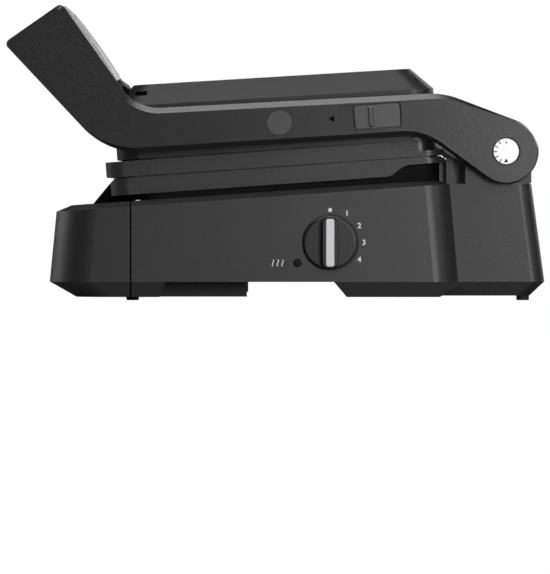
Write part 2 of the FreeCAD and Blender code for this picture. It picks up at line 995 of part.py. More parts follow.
def plate_latch(at, press_turn, collar_distance, outer, depth):
    """Push button, its tongue and the hook that holds a plate, in the plate's frame."""
    near = -collar_distance + lug_start + lug_thickness + hook_gap
    far = near + lug_thickness
    half = latch_button_width / 2
    button = block(
        -outer, 4 * wall - outer, at - half, at + half, -depth - latch_button_height, -depth)
    face_edges = [edge for edge in button.Edges if abs(edge.CenterOfMass.x + outer) < 0.01]
    button = button.makeChamfer(latch_button_chamfer, face_edges)
    tongue = block(
        3 * wall - outer, far, at + lug_width / 2 + hook_gap, at + half,
        -depth - latch_button_height, -depth)
    bar = block(
        near, far, at - lug_width / 2, at + half,
        -depth - latch_button_height, -cooking_underside - lug_wall - hook_gap / 2)
    nose_half = lug_width / 2 - lug_wall - fit
    nose = block(
        near - hook_gap - lug_thickness / 3, near + overlap, at - nose_half, at + nose_half,
        lug_wall + fit - lug_depth, -cooking_underside - lug_wall - hook_gap / 2)
    latch = fused([button, tongue, bar, nose])
    latch.rotate(V(0, 0, 0), V(0, 0, 1), press_turn)
    return latch


def lower_latch_outer():
    """From the middle plane to the pressed face of the lower latch button."""
    depth = lower_button_depth + latch_button_height / 2
    return half_width_at(parallel(depth), -lower_latch_at) + button_lip


def make_lower_frame():
    """Collar that stands in the base's opening and carries the lower plate."""
    return tilted(collar().cut(lower_notch()).removeSplitter())


# Hinge


def tower_outline(inset, bottom):
    """Side view of the hinge tower, as corners around the hinge axis."""
    return [
        (inset - tower_front, bottom, 0),
        (tower_rear - inset, bottom, 0),
        (tower_rear - inset, hinge_height + tower_top - inset, tower_rear_radius - inset),
        (inset - tower_front, hinge_height + tower_top - inset, tower_front_radius - inset),
    ]


def shelf_slab(inset, rear):
    """Block between the tower and the lower plate's collar, or the hollow in it when it is inset."""
    half = shelf_half_width - inset
    return block(-half, half, inset - shelf_front, rear, neck_height - inset, shelf_height - inset)


def make_hinge_housing():
    """Tower between the arms, with the ridge that stops the lower plate from sliding back."""
    core_half = neck_half_width - seam_depth
    outer = side_slab(tower_outline(0, neck_height + seam_height), -neck_half_width, neck_half_width)
    core = side_slab(tower_outline(seam_depth, neck_height), -core_half, core_half)
    outer = outer.fuse([core, shelf_slab(0, wall / 2 - tower_front)])
    inner = side_slab(tower_outline(wall, neck_height - 1), wall - neck_half_width, neck_half_width - wall)
    ridge_rear = ridge_thickness + ridge_gap - plate_rear
    ridge = side_slab([
        (ridge_rear - ridge_thickness, neck_height, 0),
        (ridge_rear, neck_height, 0),
        (ridge_rear, ridge_height, ridge_thickness * 0.2),
        (ridge_rear - ridge_thickness, ridge_height, ridge_thickness * 0.7),
    ], -basin_half_width, basin_half_width)
    bores = [disc(-arm_outer, arm_outer, 0, hinge_height, pin_radius)]
    shell = outer.cut([inner, shelf_slab(wall, -tower_front)]).fuse(ridge)
    return shell.cut(bores + [main_block(0, ledge_depth), well_opening()]).removeSplitter()


def make_hinge_bracket():
    """Folded steel bracket inside the tower, which holds both axle stubs."""
    side = neck_half_width - wall
    front = wall - tower_front + bracket_gap
    rear = tower_rear - wall - bracket_gap
    low = neck_height + bracket_rise
    corners = [
        (front, low, 0),
        (rear, low, 0),
        (rear, hinge_height + bracket_rear_top, bracket_rear_radius),
        (bracket_peak[0], hinge_height + bracket_peak[1], bracket_peak_radius),
        (front, hinge_height - bracket_front_drop, bracket_front_drop),
    ]
    cheek = side_slab(corners, side - bracket_thickness, side)
    cheek = cheek.cut(disc(side - 2 * bracket_thickness, side + 1, 0, hinge_height, pin_radius))
    strip = block(-side, side, front, rear, low, low + bracket_thickness)
    return fused(both_sides(cheek) + [strip])


def make_hinge_pins():
    start = neck_half_width - wall - 3 * bracket_thickness
    end = arm_outer - cap_thickness
    pin = disc(start, end, 0, hinge_height, pin_radius)
    return group(both_sides(pin))


def make_hinge_caps():
    """Silver discs on the axle ends, seen in round windows in the arms."""
    start = arm_outer - cap_thickness
    cap = disc(start, arm_outer - cap_setback, 0, hinge_height, cap_radius)
    rim = [edge for edge in cap.Edges if edge.CenterOfMass.x > arm_outer - 2 * cap_setback and edge.Closed]
    return group(both_sides(cap.makeChamfer(cap_chamfer, rim)))


def make_lock_disc():
    """Steel disc on the right axle stub, which the latch rod points at."""
    end = lock_disc_start + lock_disc_thickness
    plate = disc(lock_disc_start, end, 0, hinge_height, lock_disc_radius)
    bore = disc(lock_disc_start - 1, end + 1, 0, hinge_height, pin_radius)
    return plate.cut(bore)


def make_hinge_bushes():
    """Plain bearings in the arms' hubs, running on the axle stubs."""
    end = arm_outer - cap_thickness - hub_gap
    ring = disc(bush_start, end, 0, hinge_height, bush_radius)
    bore = disc(bush_start - 1, end + 1, 0, hinge_height, pin_radius + pin_running_gap)
    return group(both_sides(ring.cut(bore)))


# Plates and what heats them


def plate_ring(front, nose_radius):
    """Rim and skirt round a plate, its front edge rounded and thinner along its rear corners."""
    outer = rounded_block(plate_half_width, -front, -plate_rear, -skirt_depth, -half_gap, plate_corner)
    outer = outer.common(side_slab([
        (-front, -skirt_depth, 0),
        (-front, -half_gap, nose_radius),
        (-plate_rear, -half_gap, 0),
        (-plate_rear, -skirt_depth, 0),
    ], -plate_half_width, plate_half_width))
    underside = rounded_block(
        plate_half_width - skirt_wall, skirt_wall - front, -skirt_wall - plate_rear,
        -skirt_depth, -rim_underside, plate_corner - skirt_wall)
    basin = rounded_block(
        basin_half_width - 1, 1 - basin_front, -1 - basin_rear, -skirt_depth, 0, plate_corner)
    low = -rim_underside - skirt_stub
    run = skirt_sweep_start - skirt_sweep_end
    sweep = side_slab([
        (-skirt_sweep_start - run / 2, -skirt_depth - 0.1, 0),
        (-skirt_sweep_start + run / 4, -skirt_depth - 0.1, run / 2),
        (-skirt_sweep_end - run / 4, low, run / 2),
        (-plate_rear + 5, low, 0),
        (-plate_rear + 5, -skirt_depth - 5, 0),
        (-skirt_sweep_start - run / 2, -skirt_depth - 5, 0),
    ], -plate_half_width - 5, plate_half_width + 5)
    return outer.cut([underside, basin, sweep])


def bead(front, inset):
    """Narrow bead on a plate's rim, which closes the gap between the plates over the parting plane."""
    half = plate_half_width - inset
    outer = rounded_block(
        half, inset - front, -inset - plate_rear, -half_gap - overlap, bead_overlap, plate_corner - inset / 2)
    inner = rounded_block(
        half - bead_width, inset + bead_width - front, -inset - bead_width - plate_rear,
        -half_gap - 1, 1, plate_corner - inset / 2 - bead_width)
    return outer.cut(inner)


def plate_basin():
    """The cooking dish: a floor with ribs and walls up to the rim."""
    low = -cooking_underside
    outer = rounded_block(basin_half_width, -basin_front, -basin_rear, low, -half_gap, plate_corner)
    dish = rounded_block(
        basin_half_width - basin_wall, basin_wall - basin_front, -basin_wall - basin_rear,
        -cooking_floor, 0, plate_corner - basin_wall)
    return outer.cut(dish)


def cooking_ribs():
    """Tapered ribs that run from front to rear across the dish."""
    span = 2 * (basin_half_width - basin_wall) - rib_pitch
    steps = int(span / rib_pitch)
    front = 4 * basin_wall - basin_front
    rear = -3 * basin_wall - basin_rear
    low = rib_width / 2
    high = low - rib_taper
    ribs = []
    for index in range(steps + 1):
        x = (index - steps / 2) * rib_pitch
        base = rounded_wire([
            (V(x + low, front, -cooking_floor), low * 0.9),
            (V(x + low, rear, -cooking_floor), low * 0.9),
            (V(x - low, rear, -cooking_floor), low * 0.9),
            (V(x - low, front, -cooking_floor), low * 0.9),
        ])
        crest_z = rib_height - cooking_floor
        crest = rounded_wire([
            (V(x + high, front + rib_taper, crest_z), high * 0.9),
            (V(x + high, rear - rib_taper, crest_z), high * 0.9),
            (V(x - high, rear - rib_taper, crest_z), high * 0.9),
            (V(x - high, front + rib_taper, crest_z), high * 0.9),
        ])
        ribs.append(loft([base, crest]))
    return ribs


def spout_parts():
    """Chute from the dish over the front rim, down into the tray, with two cheeks."""
    lip = -lower_plate_front - spout_lip
    end = lip - spout_reach
    low = -half_gap - spout_drop - 2 * spout_wall
    start = 1.5 * basin_wall - basin_front
    apron_depth = ledge_depth - ledge_rise - spout_apron_gap
    bottom = side_slab([
        (start, -cooking_floor, 0),
        (-basin_front - 2, -cooking_floor, spout_bend),
        (end + spout_toe, low + 1, 0),
        (end + spout_heel, low - 1, 0),
        (-basin_front, -cooking_underside, spout_bend),
        (start, -cooking_underside, 0),
    ], -spout_half_width, spout_half_width)
    cheek = side_slab([
        (start, -half_gap, 0),
        (lip, -half_gap, spout_cheek_radius),
        (end - spout_cheek_toe, low + spout_cheek_rise, 1),
        (end + spout_heel, low - 1, 1),
        (-basin_front - spout_apron_front, -apron_depth - spout_apron_drop, 1),
        (-hinge_to_joint - spout_apron_joint, -apron_depth - spout_apron_drop, 1),
        (-hinge_to_joint - spout_apron_joint, -apron_depth, 0),
        (-collar_front - spout_apron_rear, -apron_depth, 0.5),
        (-collar_front - spout_apron_rear, -cooking_underside, 0),
        (start, -cooking_underside, 0),
    ], spout_half_width - spout_wall, spout_half_width)
    return [bottom] + both_sides(cheek)


def spout_notch():
    half = spout_half_width - spout_wall
    return block(-half, half, -lower_plate_front - 2, 1 - basin_front + basin_wall, -cooking_floor, half_gap)


def make_lower_plate():
    rim = plate_ring(lower_plate_front, lower_nose_radius)
    tray = fused([rim, plate_basin(), bead(lower_plate_front, lower_bead_inset)]).cut(spout_notch())
    lug = latch_lug(-lower_latch_at, 0, collar_half_width)
    return tilted(fused([tray] + spout_parts() + cooking_ribs() + [lug]))


def make_upper_plate():
    rim = plate_ring(upper_plate_front, upper_nose_radius)
    tray = fused([rim, plate_basin(), bead(basin_front + upper_bead_inset, upper_bead_inset)])
    lug = latch_lug(upper_latch_at, 90, collar_front)
    return tilted(upside_down(fused([tray] + cooking_ribs() + [lug])))


def shield(notch):
    """Thin bright dish under a heater, hung from the collar's step by its flange."""
    top = -cooking_underside - collar_gap - fit
    low = -shield_depth - shield_thickness
    skin = shield_thickness
    reach = collar_half_width - collar_wall - fit
    flange = rounded_block(
        reach, collar_wall + fit - collar_front, -collar_wall - fit - collar_rear,
        top - skin, top, plate_corner - collar_wall - fit)
    outer = rounded_block(shield_half_width, -shield_front, -shield_rear, low, top, plate_corner)
    inner = rounded_block(
        shield_half_width - skin, skin - shield_front, -skin - shield_rear,
        low + skin, top + 1, plate_corner - skin)
    probe_hole = post(0, -probe_at, low - 1, low + 2, probe_radius + fit)
    passage = heater(heater_radius + 2 * fit)
    return flange.fuse(outer).cut([inner, probe_hole, passage, notch]).removeSplitter()


def heater(radius):
    """Round heating element bent in an M, its ends turned away from the plate."""
    end_depth = heater_depth + 2 * heater_bend
    path = [
        (-heater_half_width, -heater_back, end_depth),
        (-heater_half_width, -heater_back, heater_depth),
        (-heater_half_width, -heater_front, heater_depth),
        (-heater_inner_half, -heater_front, heater_depth),
        (-heater_inner_half, -heater_turn_back, heater_depth),
        (heater_inner_half, -heater_turn_back, heater_depth),
        (heater_inner_half, -heater_front, heater_depth),
        (heater_half_width, -heater_front, heater_depth),
        (heater_half_width, -heater_back, heater_depth),
        (heater_half_width, -heater_back, end_depth),
    ]
    return tube([V(x, y, -depth) for x, y, depth in path], heater_bend, radius)


def heater_clips():
    """Sheet-metal stirrups that hold the heater to the shield's floor."""
    clips = []
    floor = -shield_depth
    top = -heater_depth - heater_radius - fit
    for x in (-heater_half_width, -heater_inner_half, heater_inner_half, heater_half_width):
        leg_z = -heater_depth
        half = heater_radius + fit + shield_thickness
        bore = half - shield_thickness
        reach = clip_half_length
        outer = block(x - half, x + half, -probe_at - reach, reach - probe_at, floor, leg_z)
        inner = block(x - bore, x + bore, -probe_at - reach - 1, reach + 1 - probe_at, top, leg_z + 1)
        hollow = block(
            x - bore, x + bore, -probe_at - reach - 1, reach + 1 - probe_at, floor - 1, top - shield_thickness)
        clips.append(outer.cut([inner, hollow]).removeSplitter())
    return group(clips)


def probe():
    """Temperature feeler that touches the plate through a hole in the shield."""
    top = -cooking_underside - fit
    low = -shield_depth - shield_thickness
    body = post(0, -probe_at, low - probe_tail, top, probe_radius)
    flange = post(0, -probe_at, low - probe_flange_thickness, low, probe_radius + probe_flange)
    return body.fuse(flange).removeSplitter()


def lower_notch():
    return latch_room(-lower_latch_at, 0, collar_half_width)


def upper_notch():
    return latch_room(upper_latch_at, 90, collar_front)


def make_lower_latch():
    return tilted(plate_latch(
        -lower_latch_at, 0, collar_half_width, lower_latch_outer(), lower_button_depth))


def make_upper_latch():
    return tilted(upside_down(plate_latch(
        upper_latch_at, 90, collar_front, head_front + button_lip, upper_button_depth)))


# Drip tray


def tray_front_block(inset):
    """The rounded front of the base that belongs to the drip tray, inset all round."""
    rear = -hinge_to_joint - tray_gap
    top_depth = ledge_depth + inset
    rings = []
    for plane, extra in (
        (level(belt_height), 0.0),
        (parallel(top_depth), 0.0),
        (parallel(top_depth - ledge_rise), ledge_run),
    ):
        front = drafted_y(plane, -hinge_to_front, -front_draft) + inset + extra
        radius = front_corner_radius - inset - extra
        rings.append(housing_ring(plane, front, rear, radius, 0, inset + extra))
    return fused([loft(rings[:2]), loft(rings[1:])])


def tray_toe(inset):
    """What lies under the belt of the tray's front, drawn in towards the table."""
    rear = -hinge_to_joint - tray_gap
    low = front_bottom + inset * toe_floor_share
    radius = front_corner_radius - inset - toe_corner_step
    half = base_half_width - skid_taper - inset
    front = front_chamfer_run + inset - hinge_to_front
    belt = housing_ring(
        level(belt_height), inset - hinge_to_front, rear, front_corner_radius - inset, 0, inset)
    foot = rounded_wire([
        (V(half, front, low), radius),
        (V(half, rear, low), 0),
        (V(-half, rear, low), 0),
        (V(-half, front, low), radius),
    ])
    return loft([foot, belt])


def make_tray_front():
    outer = fused([tray_front_block(0), tray_toe(0)])
    rear = -hinge_to_joint - tray_gap
    half = base_half_width - wall
    behind = block(-half, half, rear - 1, rear + 1, front_bottom + front_sill, belt_height)
    crest = drafted_y(parallel(ledge_depth - ledge_rise), -hinge_to_front, -front_draft) + ledge_run
    mouth = block(
        -basin_half_width, basin_half_width, crest + mouth_behind_crest, rear + 1, belt_height, hinge_height)
    cuts = [tray_front_block(wall), tray_toe(wall), mouth]
    for x, y, z in front_foot_places():
        reach = foot_radius + wall + 2 * fit
        cuts.append(block(x - reach, x + reach, y - reach, rear + 1, 0, belt_height))
    return outer.cut(cuts).cut(behind).removeSplitter()


def drip_outline(inset):
    """Side view of the drip tray: a basin at the front and a shallow tongue behind it."""
    front = inset - hinge_to_joint - tray_length_under / 2 + tray_basin_front
    step = -hinge_to_joint - tray_gap - tray_basin_rear - inset
    tail = -hinge_to_joint + tray_length_under - inset
    low = tray_floor + inset
    over = 2 * hinge_height if inset else 0
    return [
        (front, low, tray_front_radius - inset),
        (front, tray_floor + basin_rise + over, 0),
        (step, tray_floor + basin_rise + over, 0),
        (step, tray_lip + over, 0),
        (tail, tray_lip + over, 0),
        (tail, low, tray_tail_radius - inset),
    ]


def make_drip_tray():
    outer = side_slab(drip_outline(0), -tray_half_width, tray_half_width)
    inner = side_slab(drip_outline(tray_wall), tray_wall - tray_half_width, tray_half_width - tray_wall)
    return outer.cut(inner).removeSplitter()


# Arms


def shifted(before, corner, after, inset_before, inset_after):
    """A corner of a clockwise side view after its two edges have moved inwards."""
    normals = []
    for start, end in ((before, corner), (corner, after)):
        length = math.hypot(end[0] - start[0], end[1] - start[1])
        normals.append(((end[1] - start[1]) / length, (start[0] - end[0]) / length))
    (ay, az), (by, bz) = normals
    det = ay * bz - az * by
    dy = (inset_before * bz - inset_after * az) / det
    dz = (ay * inset_after - by * inset_before) / det
    return (corner[0] + dy, corner[1] + dz)


def turn_of(before, corner, after):
    """Positive where a clockwise side view bulges out at a corner."""
    return (corner[1] - before[1]) * (after[0] - corner[0]) - (corner[0] - before[0]) * (after[1] - corner[1])


def inset_outline(corners, inset):
    """Clockwise (y, z, radius) side view with all its edges moved inwards."""
    result = []
    count = len(corners)
    for index in range(count):
        before = corners[index - 1][:2]
        corner = corners[index][:2]
        after = corners[(index + 1) % count][:2]
        y, z = shifted(before, corner, after, inset, inset)
        grown = -inset if turn_of(before, corner, after) > 0 else inset
        result.append((y, z, max(corners[index][2] + grown, 0)))
    return result


def touch_angle(corner, radius, side):
    """Angle on a circle round the hinge where a line from a corner touches it; side is 1 for above."""
    y, z = corner
    heading = math.atan2(-z, -y) + side * math.asin(radius / math.hypot(y, z))
    return heading + side * math.pi / 2


def at_angle(distance, angle):
    return (distance * math.cos(angle), distance * math.sin(angle))


def arm_outline(end, upper, rear, hub, lower, grip):
    """Side view of an arm with the handle's cheek, each group of edges moved inwards."""
    radius = hub_radius
    high_touch = at_angle(radius, touch_angle(rear_top, radius, 1))
    low_touch = at_angle(radius, touch_angle(rear_low, radius, -1))
    corner_a = shifted(knee_low, tip_front, tip_top, grip, end)
    corner_b = shifted(tip_front, tip_top, knee_top, end, upper)
    corner_c = shifted(tip_top, knee_top, rear_top, upper, upper)
    corner_d = shifted(knee_top, rear_top, high_touch, upper, rear)
    corner_e = shifted(low_touch, rear_low, knee_low, rear, lower)
    corner_f = shifted(rear_low, knee_low, tip_front, lower, grip)
    radius = hub_radius - hub
    high = touch_angle(corner_d, radius, 1)
    low = touch_angle(corner_e, radius, -1)
    quarter = (high - low) / 4
    reach = radius / math.cos(quarter)
    hub_high = at_angle(reach, high - quarter)
    hub_low = at_angle(reach, low + quarter)
    return [
        corner_a + (max(tip_radius - end, 1.0),),
        corner_b + (max(tip_radius - end, 1.0),),
        corner_c + (knee_top_radius + upper,),
        corner_d + (rear_top_radius - upper,),
        hub_high + (radius,),
        hub_low + (radius,),
        corner_e + (rear_low_radius + lower,),
        corner_f + (knee_low_radius - lower,),
    ]


def even_arm_outline(inset):
    return arm_outline(inset, inset, inset, inset, inset, inset)


def slot_block(x_low, x_high, length, width, y_shift):
    """Rounded slot-shaped block centred on the latch's slot."""
    y = slot_at[0] + y_shift
    z = slot_at[1]
    return side_slab([
        (y - length / 2, z - width / 2, slot_radius),
        (y - length / 2, z + width / 2, slot_radius),
        (y + length / 2, z + width / 2, slot_radius),
        (y + length / 2, z - width / 2, slot_radius),
    ], x_low, x_high)


def slider_shift():
    """From the slot's middle to the slider's, in its locked place at the hinge end."""
    return (slot_length - slider_length) / 2 - slider_margin


def spring_stop():
    return slot_at[0] + slider_shift() - slider_length / 2 - latch_travel - spring_room


def arm_body():
    """The arm that both sides share: a hollow outer shell with bearing bosses."""
    flank = side_slab(even_arm_outline(0), arm_inner, arm_bevel_start)
    edge_wire = rounded_wire([(V(arm_bevel_start, y, z), r) for y, z, r in even_arm_outline(0)])
    face = arm_outline(end_bevel, upper_bevel, rear_bevel, hub_bevel, lower_bevel, grip_bevel)
    face_wire = rounded_wire([(V(arm_outer, y, z), r) for y, z, r in face])
    bevel = loft([edge_wire, face_wire])
    pocket = side_slab(even_arm_outline(arm_wall), arm_inner - 1, cavity_outer)
    hub = disc(bush_start, arm_bevel_start, 0, 0, hub_boss_radius)
    pivot = disc(arm_inner, arm_bevel_start, pivot_at[0], pivot_at[1], pivot_boss_radius)
    posts = [disc(liner_face, arm_bevel_start, y, z, screw_head_radius) for y, z in arm_screws_at]
    cuts = [
        disc(arm_inner, arm_outer + 1, 0, 0, bush_radius),
        disc(arm_outer - cap_thickness - hub_gap, arm_outer + 1, 0, 0, cap_window_radius),
        disc(arm_inner - 1, arm_outer - cap_recess - cap_floor, pivot_at[0], pivot_at[1],
             pivot_pin_radius + pin_running_gap),
        disc(arm_outer - cap_recess, arm_outer + 1, pivot_at[0], pivot_at[1], pivot_cap_radius + cap_setback),
    ]
    cuts += [disc(arm_inner, arm_bevel_start - 2, y, z, screw_shank_radius) for y, z in arm_screws_at]
    shell = flank.fuse(bevel).cut(pocket)
    return shell.fuse([hub, pivot] + posts).cut(cuts)


def make_right_arm():
    pad = slot_block(
        arm_outer - slot_depth - wall, arm_bevel_start, slot_length + 2 * wall, slot_width + 2 * wall, 0)
    slot = slot_block(arm_outer - slot_depth, arm_outer + 1, slot_length, slot_width, 0)
    stem_room = block(
        arm_inner, arm_outer, slot_at[0] + slider_shift() - stem_length / 2 - latch_travel - 2 * fit,
        slot_at[0] + slider_shift() + stem_length / 2 + 2 * fit,
        slot_at[1] - stem_width / 2 - fit, slot_at[1] + stem_width / 2 + fit)
    stop = block(
        liner_face + 1, arm_bevel_start, spring_stop() - arm_wall, spring_stop(),
        slot_at[1] - rod_width, slot_at[1] + rod_width)
    arm = arm_body().fuse([pad, stop]).cut([slot, stem_room])
    return tilted(arm.removeSplitter())


def make_left_arm():
    return tilted(arm_body().removeSplitter().mirror(V(0, 0, 0), V(1, 0, 0)))


def make_arm_liners():
    """Steel plates that close the arms from inside and carry the handle's beam."""
    plate = side_slab(even_arm_outline(arm_wall + fit / 2), arm_inner, liner_face)
    y, z = beam_middle()
    cuts = [
        disc(arm_inner - 1, arm_outer, 0, 0, pin_radius + 1),
        disc(arm_inner - 1, arm_outer, pivot_at[0], pivot_at[1], pivot_boss_radius + fit),
        disc(arm_inner - 1, arm_outer, y, z, screw_shank_radius),
    ]
    for y, z in arm_screws_at:
        cuts.append(disc(arm_inner - 1, arm_inner + liner_screw_depth, y, z, screw_head_radius + fit))
        cuts.append(disc(arm_inner - 1, arm_outer, y, z, screw_shank_radius))
    return tilted(group(both_sides(plate.cut(cuts))))


def side_screw(x, y, z, length, outwards, head_height):
    """Round-headed screw along X whose head starts at x; outwards is 1 or -1."""
    seat = x + outwards * head_height
    head = disc(min(x, seat), max(x, seat), y, z, screw_head_radius)
    tip = seat + outwards * length
    shank = disc(min(tip, seat), max(tip, seat), y, z, screw_shank_radius)
    depth = x + outwards * head_height / 2
    low = min(x, depth)
    high = max(x, depth)
    reach = screw_cross_reach
    half = screw_cross_half
    cross = [
        block(low, high, y - reach, y + reach, z - half, z + half),
        block(low, high, y - half, y + half, z - reach, z + reach),
    ]
    return head.fuse(shank).cut(cross).removeSplitter()


def make_arm_screws():
    screws = []
    for y, z in arm_screws_at:
        screws += both_sides(side_screw(arm_inner, y, z, liner_screw_length, 1, liner_screw_depth))
    return tilted(group(screws))


def make_pivot_caps():
    cap = disc(arm_outer - cap_recess, arm_outer, pivot_at[0], pivot_at[1], pivot_cap_radius)
    rim = [edge for edge in cap.Edges if edge.CenterOfMass.x > arm_outer - 0.1 and edge.Closed]
    return tilted(group(both_sides(cap.makeFillet(pivot_cap_rounding, rim))))


# Flat-open latch


def make_latch_slider():
    """Finger slider in the right arm's slot, with a grip ridge and a stem through the arm."""
    shift = slider_shift()
    plate = slot_block(
        arm_outer - slot_depth + fit, arm_outer - slider_setback, slider_length, slider_width, shift)
    y = slot_at[0] + shift - grip_ridge_at
    half = slider_width / 2 - grip_ridge_margin
    ridge = side_slab([
        (y - grip_ridge_width / 2, slot_at[1] - half, 1),
        (y - grip_ridge_width / 2, slot_at[1] + half, 1),
        (y + grip_ridge_width / 2, slot_at[1] + half, 1),
        (y + grip_ridge_width / 2, slot_at[1] - half, 1),
    ], arm_outer - 1, arm_outer + grip_ridge_proud)
    crest = [edge for edge in ridge.Edges if edge.BoundBox.XMin > arm_outer + 0.9 * grip_ridge_proud]
    ridge = ridge.makeChamfer(grip_ridge_chamfer, crest)
    y = slot_at[0] + shift
    stem = block(
        rod_start, arm_outer - 1, y - stem_length / 2, y + stem_length / 2,
        slot_at[1] - stem_width / 2, slot_at[1] + stem_width / 2)
    return tilted(fused([plate, ridge, stem]))


def make_latch_rod():
    """Flat rod inside the arm from the slider to the lock disc."""
    start = slot_at[0] + slider_shift() - rod_reach
    bend = (-rod_bend, slot_at[1])
    tip = at_angle(lock_disc_radius + rod_tip_gap, math.radians(rod_tip_angle))
    half = rod_width / 2
    slope = math.atan2(tip[1] - bend[1], tip[0] - bend[0])
    across = (-math.sin(slope) * half, math.cos(slope) * half)
    turn = math.tan(-slope / 2) * half
    rod = side_slab([
        (start, bend[1] + half, 1),
        (bend[0] + turn, bend[1] + half, 4),
        (tip[0] + across[0], tip[1] + across[1], 0.5),
        (tip[0] - across[0], tip[1] - across[1], 0.5),
        (bend[0] - turn, bend[1] - half, 2),
        (start, bend[1] - half, 1),
    ], rod_start, rod_start + rod_thickness)
    y = slot_at[0] + slider_shift()
    hole = block(
        arm_inner, arm_outer, y - stem_length / 2, y + stem_length / 2,
        slot_at[1] - stem_width / 2, slot_at[1] + stem_width / 2)
    return tilted(rod.cut(hole))


def make_latch_spring():
    """Coil spring that pushes the latch rod towards the hinge."""
    start = spring_stop() + latch_wire / 2 + spring_end_gap
    end = slot_at[0] + slider_shift() - rod_reach - latch_wire / 2 - spring_end_gap
    radius = latch_coil_radius - latch_wire / 2
    helix = Part.makeHelix((end - start) / latch_coils, end - start, radius)
    ring = Part.Wire(Part.makeCircle(latch_wire / 2, V(radius, 0, 0), V(0, 1, 0)))
    coil = helix.makePipeShell([ring], True, True)
    coil.rotate(V(0, 0, 0), V(1, 0, 0), -90)
    coil.translate(V(rod_start + rod_thickness / 2, start, slot_at[1]))
    return tilted(coil)


# Upper head


def head_ring(shrink, z_front, z_rear, radius):
    """Plan outline of the head, drawn in by shrink, its ends at two heights."""
    half = head_half_width - shrink
    front = shrink - head_front
    rear = -shrink - head_rear
    return rounded_wire([
        (V(half, front, z_front), radius),
        (V(half, rear, z_rear), radius),
        (V(-half, rear, z_rear), radius),
        (V(-half, front, z_front), radius),
    ])


def make_upper_frame():
    """Lower edge of the head with the collar that carries the upper plate."""
    ring = prism(head_ring(0, head_bottom, head_bottom, head_corner), V(0, 0, head_split - head_bottom))
    room = prism(
        head_ring(wall, head_bottom + wall, head_bottom + wall, head_corner - wall), V(0, 0, head_split))
    mouth = rounded_block(
        collar_half_width, -collar_front, -collar_rear - 1.5 * collar_wall, head_bottom - 1,
        head_split, plate_corner)
    window_half = latch_button_width / 2 + fit
    window = block(
        -upper_latch_at - window_half, -upper_latch_at + window_half,
        -head_front - 1, -collar_front + 2 * collar_wall,
        upper_button_depth - fit, upper_button_depth + latch_button_height + fit)
    shell = ring.cut([room, mouth]).fuse(upside_down(collar()))
    pin = disc(-arm_inner, arm_inner, pivot_at[0], pivot_at[1], pivot_pin_radius + fit)
    return tilted(shell.cut([window, upside_down(upper_notch()), pin]).removeSplitter())


def make_upper_cover():
    """Moulded cover of the head with a hipped edge and a recess for the top panel."""
    start = head_split + fit
    base = head_ring(0, start, start, head_corner)
    edge = head_ring(0, head_edge_front, head_edge_rear, head_corner)
    top = head_ring(head_slope_run, head_top_front, head_top_rear, top_corner)
    outer = fused([loft([base, edge]), loft([edge, top])])
    drop = 0.4 * wall
    inner_base = head_ring(wall, start - 1, start - 1, head_corner - wall)
    inner_edge = head_ring(wall, head_edge_front - drop, head_edge_rear - drop, head_corner - wall)
    inner_top = head_ring(
        head_slope_run - 0.7, head_top_front - top_wall, head_top_rear - top_wall, top_corner - 1)
    inner = fused([loft([inner_base, inner_edge]), loft([inner_edge, inner_top])])
    recess = top_panel_block(panel_inset - panel_groove, panel_groove_depth, 1)
    cuts = [inner, recess, disc(-arm_inner, arm_inner, pivot_at[0], pivot_at[1], pivot_pin_radius + fit)]
    y, z = vent_at
    vent = block(
        head_half_width - 2 * head_slope_run, head_half_width, y - vent_length / 2, y + vent_length / 2,
        z - vent_height / 2, z + vent_height / 2)
    along = math.atan2(slit_end[1] - slit_start[1], slit_end[0] - slit_start[0])
    shift = (-math.sin(along) * slit_width, math.cos(along) * slit_width)
    slit = side_slab([
        (slit_start[0], slit_start[1], 0),
        (slit_start[0] - shift[0], slit_start[1] - shift[1], 0),
        (slit_end[0] - shift[0], slit_end[1] - shift[1], 0),
        (slit_end[0], slit_end[1], 0),
    ], head_half_width - head_slope_run, head_half_width)
    return tilted(outer.cut(cuts + both_sides(vent) + both_sides(slit)).removeSplitter())


def top_panel_block(inset, below, above):
    """Block with the outline of the head's top, between two depths from its surface."""
    shrink = head_slope_run + inset
    radius = top_corner - inset / 2
    slope = (head_top_rear - head_top_front) / (head_front - head_rear - 2 * head_slope_run)
    front = head_top_front + slope * inset
    rear = head_top_rear - slope * inset
    return loft([
        head_ring(shrink, front - below, rear - below, radius),
        head_ring(shrink, front + above, rear + above, radius),
    ])


def make_upper_top_panel():
    lift = panel_groove_depth - panel_thickness
    return tilted(top_panel_block(panel_inset, panel_groove_depth, -lift))


def make_pivot_brackets():
    """Steel plates inside the head with the stub pins that run in the arms."""
    y, z = pivot_at
    outer = head_half_width - wall - fit
    inner = collar_half_width + fit
    plate = side_slab([
        (y - bracket_reach, z - plate_bracket_below, plate_bracket_radius),
        (y - bracket_reach, z + plate_bracket_above, plate_bracket_radius),
        (y + bracket_reach, z + plate_bracket_above, plate_bracket_radius),
        (y + bracket_reach, z - plate_bracket_below, plate_bracket_radius),
    ], inner, outer)
    pin = disc(inner, arm_outer - cap_recess - cap_floor - pivot_pin_gap, y, z, pivot_pin_radius)
    return tilted(group(both_sides(plate.fuse(pin).removeSplitter())))


# Handle


def console_outline():
    return [
        tip_front + (tip_radius,),
        tip_top + (tip_radius,),
        console_foot + (1.0,),
        console_heel + (1.0,),
        console_base_rear + (2.0,),
        console_base_front + (4.0,),
        console_toe + (4.0,),
    ]


def on_back(shape):
    """From a frame on the handle's rear face, y down the slope from the tip, to the grill's frame."""
    angle = math.atan2(console_foot[1] - tip_top[1], console_foot[0] - tip_top[0])
    placed = shape.copy()
    placed.rotate(V(0, 0, 0), V(1, 0, 0), math.degrees(angle))
    placed.translate(V(0, tip_top[0], tip_top[1]))
    return placed


